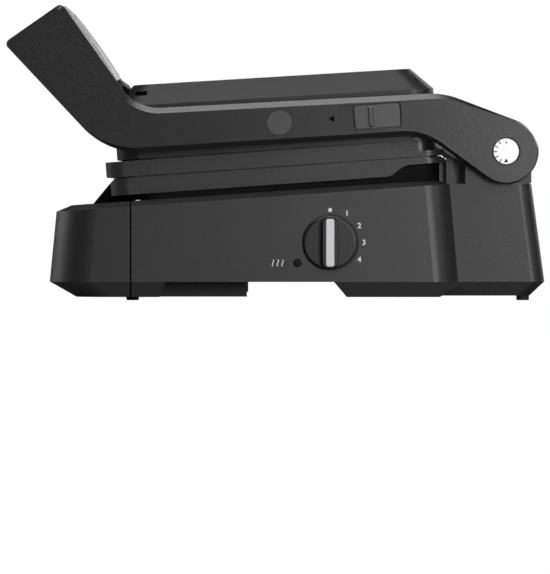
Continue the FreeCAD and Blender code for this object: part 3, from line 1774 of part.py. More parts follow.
def on_end(shape):
    """From a frame in the middle of the handle's end face, z outwards, to the grill's frame."""
    angle = math.atan2(tip_top[1] - tip_front[1], tip_top[0] - tip_front[0])
    placed = shape.copy()
    placed.rotate(V(0, 0, 0), V(1, 0, 0), math.degrees(angle))
    placed.translate(V(0, (tip_front[0] + tip_top[0]) / 2, (tip_front[1] + tip_top[1]) / 2))
    return placed


def beam_middle():
    """Centre of the handle's inner beam, as (y, z)."""
    middle = on_back(post(0, beam_along, -beam_below - 1, -beam_below + 1, 1)).CenterOfMass
    return (middle.y, middle.z)


def console_shell():
    half = arm_inner - console_gap
    outer = side_slab(console_outline(), -half, half)
    inner = side_slab(
        inset_outline(console_outline(), console_wall), console_wall - half, half - console_wall)
    y, z = beam_middle()
    screw_hole = disc(-arm_inner, arm_inner, y, z, screw_shank_radius + fit)
    return outer.cut([inner, screw_hole])


def panel_recess():
    """Depth of the control panel's seat in the end face."""
    return panel_plate - panel_proud


def button_places():
    """Middles of the push buttons across the panel, from left to right."""
    right = [button_first + index * button_pitch for index in range(buttons_each_side)]
    return [-x for x in reversed(right)] + right


def back_strip(depth):
    """Everything of the handle that lies less than a depth below its rear face."""
    length = math.dist(tip_top, console_foot)
    return on_back(block(-arm_inner, arm_inner, -length, 2 * length, -depth, console_wall))


def make_handle_grip():
    """Moulded handle between the cheeks, with the seat for the control panel."""
    strip = back_strip(back_depth + fit)
    seat = panel_slab(fit, -panel_recess(), 5)
    holes = [post(x, 0, -2 * console_wall, 1, button_radius + fit) for x in button_places()]
    holes.append(post(0, 0, -2 * console_wall, 1, display_inner - 1))
    posts = []
    x_half = board_half_width - board_post_side
    y_half = board_height / 2 - board_post_end
    for x in (-x_half, x_half):
        for y in (-y_half, y_half):
            posts.append(post(x, y, -board_depth, -console_wall, board_post_radius))
    grip = console_shell().cut(strip).cut([on_end(seat)] + [on_end(hole) for hole in holes])
    return tilted(grip.fuse([on_end(shape) for shape in posts]).removeSplitter())


def make_handle_back():
    """Shallow cover of the handle's rear face, with a raised bar at its lower end."""
    strip = back_strip(back_depth)
    bar_start = skin_end + fit
    bar_end = bar_start + end_block_length
    bar = rounded_block(skin_half_width, bar_start, bar_end, -1, end_block_height, end_block_radius)
    crest = [edge for edge in bar.Edges if edge.BoundBox.ZMin > end_block_height - 0.1]
    bar = bar.makeFillet(end_block_rounding, crest)
    trimmed = on_back(bar).cut(side_slab(console_outline(), -arm_inner, arm_inner))
    return tilted(fused([console_shell().common(strip), trimmed]))


def make_handle_skin():
    """Slightly domed brushed steel skin on the handle's rear face."""
    middle = (skin_start + skin_end) / 2
    half = skin_half_width
    low_end = V(-half, skin_start, 0)
    low_edge = V(-half, skin_start, skin_edge)
    crown = V(-half, middle, skin_dome)
    high_edge = V(-half, skin_end, skin_edge)
    high_end = V(-half, skin_end, 0)
    wire = Part.Wire([
        Part.LineSegment(low_end, low_edge).toShape(),
        Part.Arc(low_edge, crown, high_edge).toShape(),
        Part.LineSegment(high_edge, high_end).toShape(),
        Part.LineSegment(high_end, low_end).toShape(),
    ])
    return tilted(on_back(prism(wire, V(2 * half, 0, 0))))


def make_handle_beam():
    half = arm_inner - console_wall - console_gap - fit
    beam = rounded_block(
        half, beam_along - beam_width / 2, beam_along + beam_width / 2,
        -beam_below - beam_depth / 2, -beam_below + beam_depth / 2, 1)
    thread = disc(half - handle_screw_length, half + 1, beam_along, -beam_below, screw_shank_radius)
    return tilted(on_back(beam.cut(both_sides(thread))))


def make_handle_screws():
    y, z = beam_middle()
    screw = side_screw(liner_face + screw_head_height, y, z, handle_screw_length, -1, screw_head_height)
    return tilted(group(both_sides(screw)))


def panel_slab(margin, z_low, z_high):
    """Slab with the control panel's outline, in the end face's frame."""
    half = panel_height / 2 + margin
    return rounded_block(panel_half_width + margin, -half, half, z_low, z_high, panel_radius + margin)


def make_control_panel():
    plate = panel_slab(0, -panel_recess(), panel_proud)
    rim = [edge for edge in plate.Edges if edge.BoundBox.ZMin > panel_proud - 0.01]
    plate = plate.makeChamfer(panel_chamfer, rim)
    holes = [post(x, 0, -5, 5, button_radius + fit) for x in button_places()]
    holes.append(post(0, 0, -5, 5, display_outer + display_gap))
    return tilted(on_end(plate.cut(holes)))


def make_display_ring():
    low = -panel_recess()
    top = panel_proud + display_proud
    ring = post(0, 0, low, top, display_outer)
    rim = [edge for edge in ring.Edges if edge.Closed and edge.BoundBox.ZMin > top - 0.1]
    ring = ring.makeFillet(display_rounding, rim)
    return tilted(on_end(ring.cut(post(0, 0, low - 1, 5, display_inner))))


def make_display_lens():
    lens = post(0, 0, -panel_recess(), panel_proud + lens_proud, display_inner - lens_gap)
    rim = [edge for edge in lens.Edges if edge.Closed and edge.BoundBox.ZMin > panel_proud]
    return tilted(on_end(lens.makeFillet(lens_rounding, rim)))


def button(x):
    """Push button that stands proud of the panel, held from behind by its flange."""
    top = panel_proud + button_proud
    flange_top = -console_wall - fit
    cap = post(x, 0, flange_top - overlap, top, button_radius)
    rim = [edge for edge in cap.Edges if edge.Closed and edge.BoundBox.ZMin > top - 0.1]
    cap = cap.makeFillet(button_rounding, rim)
    flange = post(x, 0, flange_top - button_flange, flange_top, button_radius + button_flange)
    return tilted(on_end(cap.fuse(flange).removeSplitter()))


def make_control_board():
    """Circuit board behind the panel with one switch under each button and the display lights."""
    low = -board_depth - board_thickness
    board = block(
        -board_half_width, board_half_width, -board_height / 2, board_height / 2, low, -board_depth)
    parts = [board]
    for x in button_places():
        parts.append(block(
            x - switch_half, x + switch_half, -switch_half, switch_half,
            -board_depth - overlap, -board_depth + switch_height))
    parts.append(post(0, 0, -board_depth - overlap, -console_wall - light_gap, display_inner - light_margin))
    return tilted(on_end(fused(parts)))


# Knob and electric parts


def knob_front():
    """X of the knob's underside."""
    return recess_plane + fit


def knob_bar_ring(x, width, length):
    y = -knob_before_hinge
    z = knob_height
    radius = width / 2 - 1
    return rounded_wire([
        (V(x, y - width / 2, z - length / 2), radius),
        (V(x, y - width / 2, z + length / 2), radius),
        (V(x, y + width / 2, z + length / 2), radius),
        (V(x, y + width / 2, z - length / 2), radius),
    ])


def make_knob():
    low = knob_front()
    seat = low + knob_base_thickness
    base = disc(low, seat, -knob_before_hinge, knob_height, knob_radius)
    rim = [edge for edge in base.Edges if edge.Closed and edge.BoundBox.XMin > seat - 0.1]
    base = base.makeFillet(knob_rounding, rim)
    length = 2 * knob_radius - grip_inset
    bar = loft([
        knob_bar_ring(seat - 1, grip_width, length),
        knob_bar_ring(seat + grip_height, grip_top_width, length - grip_taper),
    ])
    bore = disc(low - 1, seat + grip_height / 2, -knob_before_hinge, knob_height, shaft_radius)
    return base.fuse(bar).cut([bore, pointer_block(0.0)]).removeSplitter()


def pointer_block(proud):
    top = knob_front() + knob_base_thickness + grip_height
    y = -knob_before_hinge
    half = pointer_width / 2
    length = pointer_length / 2
    return side_slab([
        (y - half, knob_height - length, pointer_radius),
        (y - half, knob_height + length, pointer_radius),
        (y + half, knob_height + length, pointer_radius),
        (y + half, knob_height - length, pointer_radius),
    ], top - pointer_depth, top + proud)


def make_knob_pointer():
    insert = pointer_block(pointer_proud)
    rim = [edge for edge in insert.Edges if edge.BoundBox.XMin > knob_face - 0.01]
    return insert.makeChamfer(pointer_chamfer, rim)


def make_thermostat_shaft():
    low = recess_plane - wall - thermostat_depth / 2
    high = knob_front() + knob_base_thickness + grip_height / 2
    return disc(low, high, -knob_before_hinge, knob_height, shaft_radius)


def make_thermostat():
    """Bimetal thermostat behind the wall, with two terminals at its back."""
    face = recess_plane - wall
    half = thermostat_size / 2
    y = -knob_before_hinge
    body = block(
        face - thermostat_depth, face, y - half, y + half, knob_height - half, knob_height + half)
    body = body.makeFillet(thermostat_rounding, [edge for edge in body.Edges if edge.BoundBox.XLength > 1])
    bore = disc(
        face - thermostat_depth / 2 - 1, face + 1, y, knob_height, shaft_radius + shaft_running_gap)
    terminals = []
    for side in (1, -1):
        y_low = y + side * half / 2
        terminals.append(block(
            face - thermostat_depth - terminal_length, face - thermostat_depth,
            y_low - terminal_half_thickness, y_low + terminal_half_thickness,
            knob_height - terminal_half_height, knob_height + terminal_half_height))
    return fused([body] + terminals).cut(bore)


def lamp_face():
    return base_half_width - side_lean * (lamp_height - belt_height)


def make_indicator_lens():
    """Clear lens of the lamp, pushed through the wall from inside."""
    face = lamp_face()
    y = -lamp_before_hinge
    stem = disc(face - 2 * wall, face + lamp_proud, y, lamp_height, lamp_radius - lamp_fit)
    rim = [edge for edge in stem.Edges if edge.Closed and edge.BoundBox.XMin > face]
    stem = stem.makeFillet(lamp_rounding, rim)
    flange = disc(face - 2 * wall, face - wall - fit, y, lamp_height, lamp_radius + lamp_flange)
    return stem.fuse(flange).removeSplitter()


def board_block(at, size):
    """Block that stands on the power board, its middle measured from the board's."""
    x = board_at[0] + at[0]
    y = board_at[1] + at[1]
    top = power_board_height + board_thickness
    x_half = size[0] / 2
    y_half = size[1] / 2
    return block(x - x_half, x + x_half, y - y_half, y + y_half, top - overlap, top + size[2])


def make_power_board():
    """Supply board on the floor's posts: relay, transformer, capacitor and a lead socket."""
    x, y = board_at
    low = power_board_height
    top = low + board_thickness
    plate = block(
        x - board_length / 2, x + board_length / 2, y - board_width / 2, y + board_width / 2, low, top)
    plate = plate.cut([post(px, py, low - 1, top + 1, screw_shank_radius + fit) for px, py in board_corners()])
    relay = board_block(relay_at, relay_size)
    transformer = board_block(transformer_at, transformer_size)
    capacitor = post(
        x + capacitor_at[0], y + capacitor_at[1], top - overlap, top + capacitor_height, capacitor_radius)
    socket = board_block(socket_at, socket_size)
    return fused([plate, relay, transformer, capacitor, socket])


def make_board_screws():
    screws = []
    for x, y in board_corners():
        screw = pan_screw(x, y, 0, board_screw_length)
        screw.rotate(V(x, y, 0), V(1, 0, 0), 180)
        screw.translate(V(0, 0, power_board_height + board_thickness))
        screws.append(screw)
    return group(screws)


def make_cord_gland():
    """Ring in the rear wall where the supply cord would come in."""
    seat = gland_plane()
    origin = V(-gland_side, seat, gland_height)
    length = 3 * wall + gland_sleeve
    start = origin - V(0, length, 0)
    flange = Part.makeCylinder(gland_flange_radius, gland_flange, origin, V(0, 1, 0))
    sleeve = Part.makeCylinder(gland_radius, length, start, V(0, 1, 0))
    bore_start = start - V(0, gland_flange / 2, 0)
    bore = Part.makeCylinder(gland_bore, length + 2 * gland_flange, bore_start, V(0, 1, 0))
    return flange.fuse(sleeve).cut(bore).removeSplitter()


# The finished grill, moved so that the middle of its footprint is the origin

nodes = {
    "base_shell": make_base_shell(),
    "base_floor": make_base_floor(),
    "feet": make_feet(),
    "floor_screws": make_floor_screws(),
    "lower_frame": make_lower_frame(),
    "hinge_housing": make_hinge_housing(),
    "hinge_bracket": make_hinge_bracket(),
    "hinge_pins": make_hinge_pins(),
    "hinge_caps": make_hinge_caps(),
    "lock_disc": make_lock_disc(),
    "hinge_bushes": make_hinge_bushes(),
    "lower_plate": make_lower_plate(),
    "upper_plate": make_upper_plate(),
    "lower_shield": tilted(shield(lower_notch())),
    "upper_shield": tilted(upside_down(shield(upper_notch()))),
    "lower_heater": tilted(heater(heater_radius)),
    "upper_heater": tilted(upside_down(heater(heater_radius))),
    "lower_heater_clips": tilted(heater_clips()),
    "upper_heater_clips": tilted(upside_down(heater_clips())),
    "lower_probe": tilted(probe()),
    "upper_probe": tilted(upside_down(probe())),
    "lower_plate_latch": make_lower_latch(),
    "upper_plate_latch": make_upper_latch(),
    "tray_front": make_tray_front(),
    "drip_tray": make_drip_tray(),
    "right_arm": make_right_arm(),
    "left_arm": make_left_arm(),
    "arm_liners": make_arm_liners(),
    "arm_screws": make_arm_screws(),
    "pivot_caps": make_pivot_caps(),
    "latch_slider": make_latch_slider(),
    "latch_rod": make_latch_rod(),
    "latch_spring": make_latch_spring(),
    "upper_frame": make_upper_frame(),
    "upper_cover": make_upper_cover(),
    "upper_top_panel": make_upper_top_panel(),
    "pivot_brackets": make_pivot_brackets(),
    "handle_grip": make_handle_grip(),
    "handle_back": make_handle_back(),
    "handle_skin": make_handle_skin(),
    "handle_beam": make_handle_beam(),
    "handle_screws": make_handle_screws(),
    "control_panel": make_control_panel(),
    "display_ring": make_display_ring(),
    "display_lens": make_display_lens(),
    "control_board": make_control_board(),
    "knob": make_knob(),
    "knob_pointer": make_knob_pointer(),
    "thermostat_shaft": make_thermostat_shaft(),
    "thermostat": make_thermostat(),
    "indicator_lens": make_indicator_lens(),
    "power_board": make_power_board(),
    "board_screws": make_board_screws(),
    "cord_gland": make_cord_gland(),
}
for number, place in enumerate(button_places(), start=1):
    nodes["button_%d" % number] = button(place)

whole = Part.makeCompound(list(nodes.values())).BoundBox
shift = V(-(whole.XMin + whole.XMax) / 2, -(whole.YMin + whole.YMax) / 2, -whole.ZMin)
for name, shape in nodes.items():
    shape.translate(shift)
    shape.exportStep("parts/%s.step" % name)
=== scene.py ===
# %% [markdown]
# # A contact grill, finished in Blender
# The grill's pieces come packed from CAD and stay where they are. This lesson gives them soft edges,
# materials that hold up close, the printed marks on the housing, and the light and camera of the photo.

# %% [markdown]
# First the imported model is loaded as a fixed frame, and the number of its pieces is printed before anything
# is added.

# %% Load the frame
import math
import bpy
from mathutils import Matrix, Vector


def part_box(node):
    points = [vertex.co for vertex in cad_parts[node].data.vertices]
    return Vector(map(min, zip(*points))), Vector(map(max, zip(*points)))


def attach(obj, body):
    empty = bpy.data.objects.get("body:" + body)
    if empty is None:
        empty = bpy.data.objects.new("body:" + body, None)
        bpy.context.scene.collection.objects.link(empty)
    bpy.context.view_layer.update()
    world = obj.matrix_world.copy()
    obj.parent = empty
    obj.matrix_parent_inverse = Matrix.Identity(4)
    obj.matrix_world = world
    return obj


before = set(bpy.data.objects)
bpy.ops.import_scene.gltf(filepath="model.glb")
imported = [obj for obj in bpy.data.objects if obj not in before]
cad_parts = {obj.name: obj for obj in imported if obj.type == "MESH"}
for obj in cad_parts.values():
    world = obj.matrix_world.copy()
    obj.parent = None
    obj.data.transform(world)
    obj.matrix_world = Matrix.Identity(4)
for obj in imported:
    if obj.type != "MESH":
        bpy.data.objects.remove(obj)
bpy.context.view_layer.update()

print("pieces from CAD:", len(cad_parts))

# %% [markdown]
# The lid leans four degrees towards the drip tray. Marks on the arms and the lid follow that lean, so the
# hinge axis and the lean are kept here, and `on_lid` turns a place on the lid into a place in the frame.
# Printed marks lie just above their face, by `print_lift`, and discs are as thick as `print_thickness`.

# %% Where things are
lean = math.radians(4.0)
print_lift = 0.00004
print_thickness = 0.0001


def centre_of(name):
    """Middle of a CAD piece's box."""
    low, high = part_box(name)
    return Vector(((low[0] + high[0]) / 2, (low[1] + high[1]) / 2, (low[2] + high[2]) / 2))


def right_face(name):
    """X of a CAD piece's outermost face on the right."""
    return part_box(name)[1][0]


cap_centre = centre_of("hinge_caps")
hinge = Vector((0.0, cap_centre.y, cap_centre.z))
arm_face = right_face("right_arm")
sideways = (math.radians(90), 0.0, math.radians(90))


def on_lid(along, above):
    """Y and Z in the frame of a place on the lid, measured from the hinge along and above the plates."""
    y = along * math.cos(lean) - above * math.sin(lean)
    z = along * math.sin(lean) + above * math.cos(lean)
    return hinge.y + y, hinge.z + z


print("hinge axis at", tuple(round(value, 4) for value in hinge))

# %% [markdown]
# Moulded plastic is never quite even. One node group makes the two masks that every surface here shares: a
# fine grain that bends the light and a broad, faint change of tone.

# %% Shared grain group
grain_detail = 3.0
tone_detail = 4.0
grain_relief = 0.0004


def make_grain_group():
    """Node group with a grain height, a normal made from it and a slow tone mask."""
    group = bpy.data.node_groups.new("Grain", "ShaderNodeTree")
    for name, default in (("Grain scale", 900.0), ("Grain depth", 0.15), ("Tone scale", 14.0)):
        socket = group.interface.new_socket(name, in_out="INPUT", socket_type="NodeSocketFloat")
        socket.default_value = default
    group.interface.new_socket("Normal", in_out="OUTPUT", socket_type="NodeSocketVector")
    group.interface.new_socket("Grain", in_out="OUTPUT", socket_type="NodeSocketFloat")
    group.interface.new_socket("Tone", in_out="OUTPUT", socket_type="NodeSocketFloat")
    nodes = group.nodes
    links = group.links
    inside = nodes.new("NodeGroupInput")
    outside = nodes.new("NodeGroupOutput")
    place = nodes.new("ShaderNodeTexCoord")
    grain = nodes.new("ShaderNodeTexNoise")
    grain.inputs["Detail"].default_value = grain_detail
    tone = nodes.new("ShaderNodeTexNoise")
    tone.inputs["Detail"].default_value = tone_detail
    bump = nodes.new("ShaderNodeBump")
    bump.inputs["Distance"].default_value = grain_relief
    links.new(place.outputs["Object"], grain.inputs["Vector"])
    links.new(place.outputs["Object"], tone.inputs["Vector"])
    links.new(inside.outputs["Grain scale"], grain.inputs["Scale"])
    links.new(inside.outputs["Tone scale"], tone.inputs["Scale"])
    links.new(inside.outputs["Grain depth"], bump.inputs["Strength"])
    links.new(grain.outputs["Fac"], bump.inputs["Height"])
    links.new(bump.outputs["Normal"], outside.inputs["Normal"])
    links.new(grain.outputs["Fac"], outside.inputs["Grain"])
    links.new(tone.outputs["Fac"], outside.inputs["Tone"])
    return group


grain_group = make_grain_group()
print("group sockets:", [item.name for item in grain_group.interface.items_tree])

# %% [markdown]
# Handling polishes the edges of a moulding first. This group compares the surface with a softened copy of
# itself: where the two differ there is an edge, and a patchy noise breaks the mask up.

# %% Shared edge group
edge_radius = 0.0012
flat_likeness = 0.985
edge_likeness = 0.80
patch_scale = 90.0
patch_detail = 4.0
patch_low = 0.35
patch_high = 0.65
least_wear = 0.25


def make_edge_group():
    """Node group with a patchy mask along the edges of a piece."""
    group = bpy.data.node_groups.new("Edges", "ShaderNodeTree")
    radius = group.interface.new_socket("Radius", in_out="INPUT", socket_type="NodeSocketFloat")
    radius.default_value = edge_radius
    group.interface.new_socket("Mask", in_out="OUTPUT", socket_type="NodeSocketFloat")
    nodes = group.nodes
    links = group.links
    inside = nodes.new("NodeGroupInput")
    outside = nodes.new("NodeGroupOutput")
    softened = nodes.new("ShaderNodeBevel")
    softened.samples = 4
    surface = nodes.new("ShaderNodeNewGeometry")
    alike = nodes.new("ShaderNodeVectorMath")
    alike.operation = "DOT_PRODUCT"
    edge = nodes.new("ShaderNodeMapRange")
    edge.inputs["From Min"].default_value = flat_likeness
    edge.inputs["From Max"].default_value = edge_likeness
    place = nodes.new("ShaderNodeTexCoord")
    patches = nodes.new("ShaderNodeTexNoise")
    patches.inputs["Scale"].default_value = patch_scale
    patches.inputs["Detail"].default_value = patch_detail
    uneven = nodes.new("ShaderNodeMapRange")
    uneven.inputs["From Min"].default_value = patch_low
    uneven.inputs["From Max"].default_value = patch_high
    uneven.inputs["To Min"].default_value = least_wear
    both = nodes.new("ShaderNodeMath")
    both.operation = "MULTIPLY"
    links.new(inside.outputs["Radius"], softened.inputs["Radius"])
    links.new(softened.outputs["Normal"], alike.inputs[0])
    links.new(surface.outputs["Normal"], alike.inputs[1])
    links.new(alike.outputs["Value"], edge.inputs["Value"])
    links.new(place.outputs["Object"], patches.inputs["Vector"])
    links.new(patches.outputs["Fac"], uneven.inputs["Value"])
    links.new(edge.outputs["Result"], both.inputs[0])
    links.new(uneven.outputs["Result"], both.inputs[1])
    links.new(both.outputs["Value"], outside.inputs["Mask"])
    return group


edge_group = make_edge_group()
print("group sockets:", [item.name for item in edge_group.interface.items_tree])

# %% [markdown]
# The steel pieces are brushed. A second group stretches noise along one direction, so its lines run the way
# the metal was rubbed.

# %% Shared brushing group
along_lines = 6.0
across_lines = 1400.0
line_depth = 0.12
line_detail = 5.0
line_relief = 0.0003


def make_brush_group():
    """Node group whose noise is stretched along the direction with the small scale value."""
    group = bpy.data.node_groups.new("Brushing", "ShaderNodeTree")
    stretch = group.interface.new_socket("Stretch", in_out="INPUT", socket_type="NodeSocketVector")
    stretch.default_value = (along_lines, across_lines, across_lines)
    depth = group.interface.new_socket("Depth", in_out="INPUT", socket_type="NodeSocketFloat")
    depth.default_value = line_depth
    group.interface.new_socket("Normal", in_out="OUTPUT", socket_type="NodeSocketVector")
    group.interface.new_socket("Lines", in_out="OUTPUT", socket_type="NodeSocketFloat")
    nodes = group.nodes
    links = group.links
    inside = nodes.new("NodeGroupInput")
    outside = nodes.new("NodeGroupOutput")
    place = nodes.new("ShaderNodeTexCoord")
    scaled = nodes.new("ShaderNodeVectorMath")
    scaled.operation = "MULTIPLY"
    lines = nodes.new("ShaderNodeTexNoise")
    lines.inputs["Scale"].default_value = 1.0
    lines.inputs["Detail"].default_value = line_detail
    bump = nodes.new("ShaderNodeBump")
    bump.inputs["Distance"].default_value = line_relief
    links.new(place.outputs["Object"], scaled.inputs[0])
    links.new(inside.outputs["Stretch"], scaled.inputs[1])
    links.new(scaled.outputs["Vector"], lines.inputs["Vector"])
    links.new(inside.outputs["Depth"], bump.inputs["Strength"])
    links.new(lines.outputs["Fac"], bump.inputs["Height"])
    links.new(bump.outputs["Normal"], outside.inputs["Normal"])
    links.new(lines.outputs["Fac"], outside.inputs["Lines"])
    return group


brush_group = make_brush_group()
print("group sockets:", [item.name for item in brush_group.interface.items_tree])

# %% [markdown]
# A plastic is a base grey, a roughness that the grain varies a little, and the grain's normal. The tone mask
# mixes two close greys so that a large face doesn't look computed.

# %% Plastic
grain_fine = 900.0
rough_spread = 0.05
coat_roughness = 0.12
edge_polish = 0.8


def plastic(name, grey, roughness, grain_scale=grain_fine, grain_depth=0.15, spread=0.12, coat=0.0, wear=1.5,
            specular=0.5):
    """Moulded plastic of one grey or colour, with grain, a slow change of tone and paler edges."""
    colour = grey if isinstance(grey, tuple) else (grey, grey, grey * 1.02)
    material = bpy.data.materials.new(name)
    material.use_nodes = True
    nodes = material.node_tree.nodes
    links = material.node_tree.links
    shader = nodes["Principled BSDF"]
    shader.inputs["Coat Weight"].default_value = coat
    shader.inputs["Coat Roughness"].default_value = coat_roughness
    shader.inputs["Specular IOR Level"].default_value = specular
    grain = nodes.new("ShaderNodeGroup")
    grain.node_tree = grain_group
    grain.inputs["Grain scale"].default_value = grain_scale
    grain.inputs["Grain depth"].default_value = grain_depth
    mix = nodes.new("ShaderNodeMix")
    mix.data_type = "RGBA"
    mix.inputs[6].default_value = tuple(part * (1 - spread) for part in colour) + (1,)
    mix.inputs[7].default_value = tuple(part * (1 + spread) for part in colour) + (1,)
    rough = nodes.new("ShaderNodeMapRange")
    rough.inputs["To Min"].default_value = roughness - rough_spread
    rough.inputs["To Max"].default_value = roughness + rough_spread
    edges = nodes.new("ShaderNodeGroup")
    edges.node_tree = edge_group
    worn = nodes.new("ShaderNodeMix")
    worn.data_type = "RGBA"
    worn.inputs[7].default_value = tuple(min(part * wear, 1.0) for part in colour) + (1,)
    polished = nodes.new("ShaderNodeMapRange")
    polished.inputs["To Min"].default_value = 1.0
    polished.inputs["To Max"].default_value = edge_polish
    smoother = nodes.new("ShaderNodeMath")
    smoother.operation = "MULTIPLY"
    links.new(grain.outputs["Tone"], mix.inputs[0])
    links.new(edges.outputs["Mask"], worn.inputs[0])
    links.new(mix.outputs[2], worn.inputs[6])
    links.new(worn.outputs[2], shader.inputs["Base Color"])
    links.new(grain.outputs["Grain"], rough.inputs["Value"])
    links.new(edges.outputs["Mask"], polished.inputs["Value"])
    links.new(rough.outputs["Result"], smoother.inputs[0])
    links.new(polished.outputs["Result"], smoother.inputs[1])
    links.new(smoother.outputs["Value"], shader.inputs["Roughness"])
    links.new(grain.outputs["Normal"], shader.inputs["Normal"])
    return material


housing = plastic("Housing plastic", 0.024, 0.40)
arm_black = plastic("Arm plastic", 0.016, 0.33)
cover_black = plastic("Cover plastic", 0.010, 0.42)
tray_black = plastic("Tray plastic", 0.018, 0.45)
# Painted shade: this near-black, rough, weakly specular grey makes the lower frame's collar darker, standing
# for the shadow it lies in. The bushes, cord gland and thermostat use it as their own dark plastic.
dark = plastic("Dark plastic and painted shade", 0.003, 0.75, specular=0.25)
floor_black = plastic("Floor plastic", 0.014, 0.50)
slider_grey = plastic("Slider plastic", 0.072, 0.36)
gloss = plastic("Glossy panel", 0.010, 0.12, grain_scale=300.0, grain_depth=0.02, coat=0.6)
pointer_grey = plastic("Pointer insert", 0.88, 0.30, grain_depth=0.05, spread=0.03, wear=1.05)
rubber = plastic("Foot rubber", 0.010, 0.70, grain_depth=0.3)
print("plastics made:", len(bpy.data.materials))

# %% [markdown]
# The cooking plates are cast aluminium under a non-stick coating: a coarser, shallow texture with a soft
# sheen and a few lighter specks.

# %% Coated plates
speck_scale = 700.0
speck_colour = (0.16, 0.16, 0.17, 1)
speck_outer = 0.10
speck_inner = 0.04
speck_strength = 0.5


def coating(name, grey, roughness):
    """Non-stick coating: speckled dark layer over a cast surface."""
    material = plastic(name, grey, roughness, grain_scale=420.0, grain_depth=0.22)
    nodes = material.node_tree.nodes
    links = material.node_tree.links
    shader = nodes["Principled BSDF"]
    place = nodes.new("ShaderNodeTexCoord")
    specks = nodes.new("ShaderNodeTexVoronoi")
    specks.inputs["Scale"].default_value = speck_scale
    limit = nodes.new("ShaderNodeMapRange")
    limit.inputs["From Min"].default_value = speck_outer
    limit.inputs["From Max"].default_value = speck_inner
    limit.inputs["To Max"].default_value = speck_strength
    bright = nodes.new("ShaderNodeMix")
    bright.data_type = "RGBA"
    bright.inputs[7].default_value = speck_colour
    before = shader.inputs["Base Color"].links[0].from_socket
    links.new(place.outputs["Object"], specks.inputs["Vector"])
    links.new(specks.outputs["Distance"], limit.inputs["Value"])
    links.new(limit.outputs["Result"], bright.inputs[0])
    links.new(before, bright.inputs[6])
    links.new(bright.outputs[2], shader.inputs["Base Color"])
    return material


plate_black = coating("Plate coating", 0.042, 0.38)
print("plate material:", plate_black.name)

# %% [markdown]
# Metals share one recipe too: full metallic, with the brushing lines changing both tone and roughness.

# %% Metals
dark_share = (0.9, 0.9, 0.9)
light_share = (1.08, 1.08, 1.07)
rough_below = 0.06
rough_above = 0.08
no_lines = (900.0, 900.0, 900.0)


def metal(name, grey, roughness, stretch, depth=line_depth):
    """Brushed metal whose lines run along the axis with the small stretch value."""
    material = bpy.data.materials.new(name)
    material.use_nodes = True
    nodes = material.node_tree.nodes
    links = material.node_tree.links
    shader = nodes["Principled BSDF"]
    shader.inputs["Metallic"].default_value = 1.0
    brush = nodes.new("ShaderNodeGroup")
    brush.node_tree = brush_group
    brush.inputs["Stretch"].default_value = stretch
    brush.inputs["Depth"].default_value = depth
    mix = nodes.new("ShaderNodeMix")
    mix.data_type = "RGBA"
    mix.inputs[6].default_value = tuple(grey * share for share in dark_share) + (1,)
    mix.inputs[7].default_value = tuple(grey * share for share in light_share) + (1,)
    rough = nodes.new("ShaderNodeMapRange")
    rough.inputs["To Min"].default_value = roughness - rough_below
    rough.inputs["To Max"].default_value = roughness + rough_above
    links.new(brush.outputs["Lines"], mix.inputs[0])
    links.new(mix.outputs[2], shader.inputs["Base Color"])
    links.new(brush.outputs["Lines"], rough.inputs["Value"])
    links.new(rough.outputs["Result"], shader.inputs["Roughness"])
    links.new(brush.outputs["Normal"], shader.inputs["Normal"])
    return material


skin_steel = metal("Brushed skin", 0.66, 0.30, (along_lines, across_lines, across_lines))
cap_steel = metal("Brushed cap", 0.50, 0.34, (800.0, across_lines, 60.0))
screw_steel = metal("Screw steel", 0.30, 0.38, no_lines, depth=0.05)
shield_steel = metal("Shield steel", 0.60, 0.26, (900.0, 12.0, 900.0), depth=0.06)
heater_steel = metal("Heater steel", 0.15, 0.50, no_lines, depth=0.10)
print("metals made")

# %% [markdown]
# Printed marks are matt, the lamp's lens is nearly black and the display's digits glow. The circuit boards
# get their green.

# %% Marks, lamp and boards
mark_white = plastic("Printed white", 0.90, 0.50, grain_depth=0.03, spread=0.03, wear=1.05)
mark_dark = plastic("Printed dark", 0.002, 0.80, grain_depth=0.03, spread=0.03, specular=0.1)
board_green = plastic("Circuit board", (0.02, 0.10, 0.05), 0.40, grain_depth=0.05)
lamp_glass = plastic("Lamp lens", (0.004, 0.002, 0.002), 0.30, grain_depth=0.02, wear=1.2, specular=0.2)
display_black = plastic("Display lens", (0.006, 0.008, 0.012), 0.06, grain_depth=0.01, coat=1.0)


def glow(name, colour, strength):
    """Lit mark on the display, a little uneven like a real segment."""
    material = plastic(name, colour, 0.4, grain_depth=0.02)
    shader = material.node_tree.nodes["Principled BSDF"]
    source = shader.inputs["Base Color"].links[0].from_socket
    material.node_tree.links.new(source, shader.inputs["Emission Color"])
    shader.inputs["Emission Strength"].default_value = strength
    return material


digit_light = glow("Display digits", (0.75, 0.80, 0.85), 0.8)
print("materials in all:", len(bpy.data.materials))

# %% [markdown]
# Each CAD piece takes the material of what it is made of. The lower frame's near-black grey is also painted
# shade.

# %% Give the pieces their materials
looks = {
    # lower_frame takes the dark grey that paints its collar's shade.
    "base_shell": housing, "hinge_housing": housing, "base_floor": floor_black, "lower_frame": dark,
    "upper_frame": arm_black, "right_arm": arm_black, "left_arm": arm_black, "handle_grip": arm_black,
    "handle_back": arm_black, "upper_cover": cover_black, "upper_top_panel": cover_black,
    "tray_front": tray_black, "drip_tray": tray_black, "lower_plate": plate_black,
    "upper_plate": plate_black, "latch_slider": slider_grey, "pivot_caps": slider_grey,
    "control_panel": gloss, "knob": arm_black, "knob_pointer": pointer_grey, "feet": rubber,
    "hinge_caps": cap_steel, "handle_skin": skin_steel, "display_ring": cap_steel,
    "display_lens": display_black, "indicator_lens": lamp_glass, "lower_shield": shield_steel,
    "upper_shield": shield_steel, "lower_heater": heater_steel, "upper_heater": heater_steel,
    "power_board": board_green, "control_board": board_green, "lower_plate_latch": slider_grey,
    "upper_plate_latch": slider_grey, "hinge_bushes": dark, "cord_gland": dark, "thermostat": dark,
}
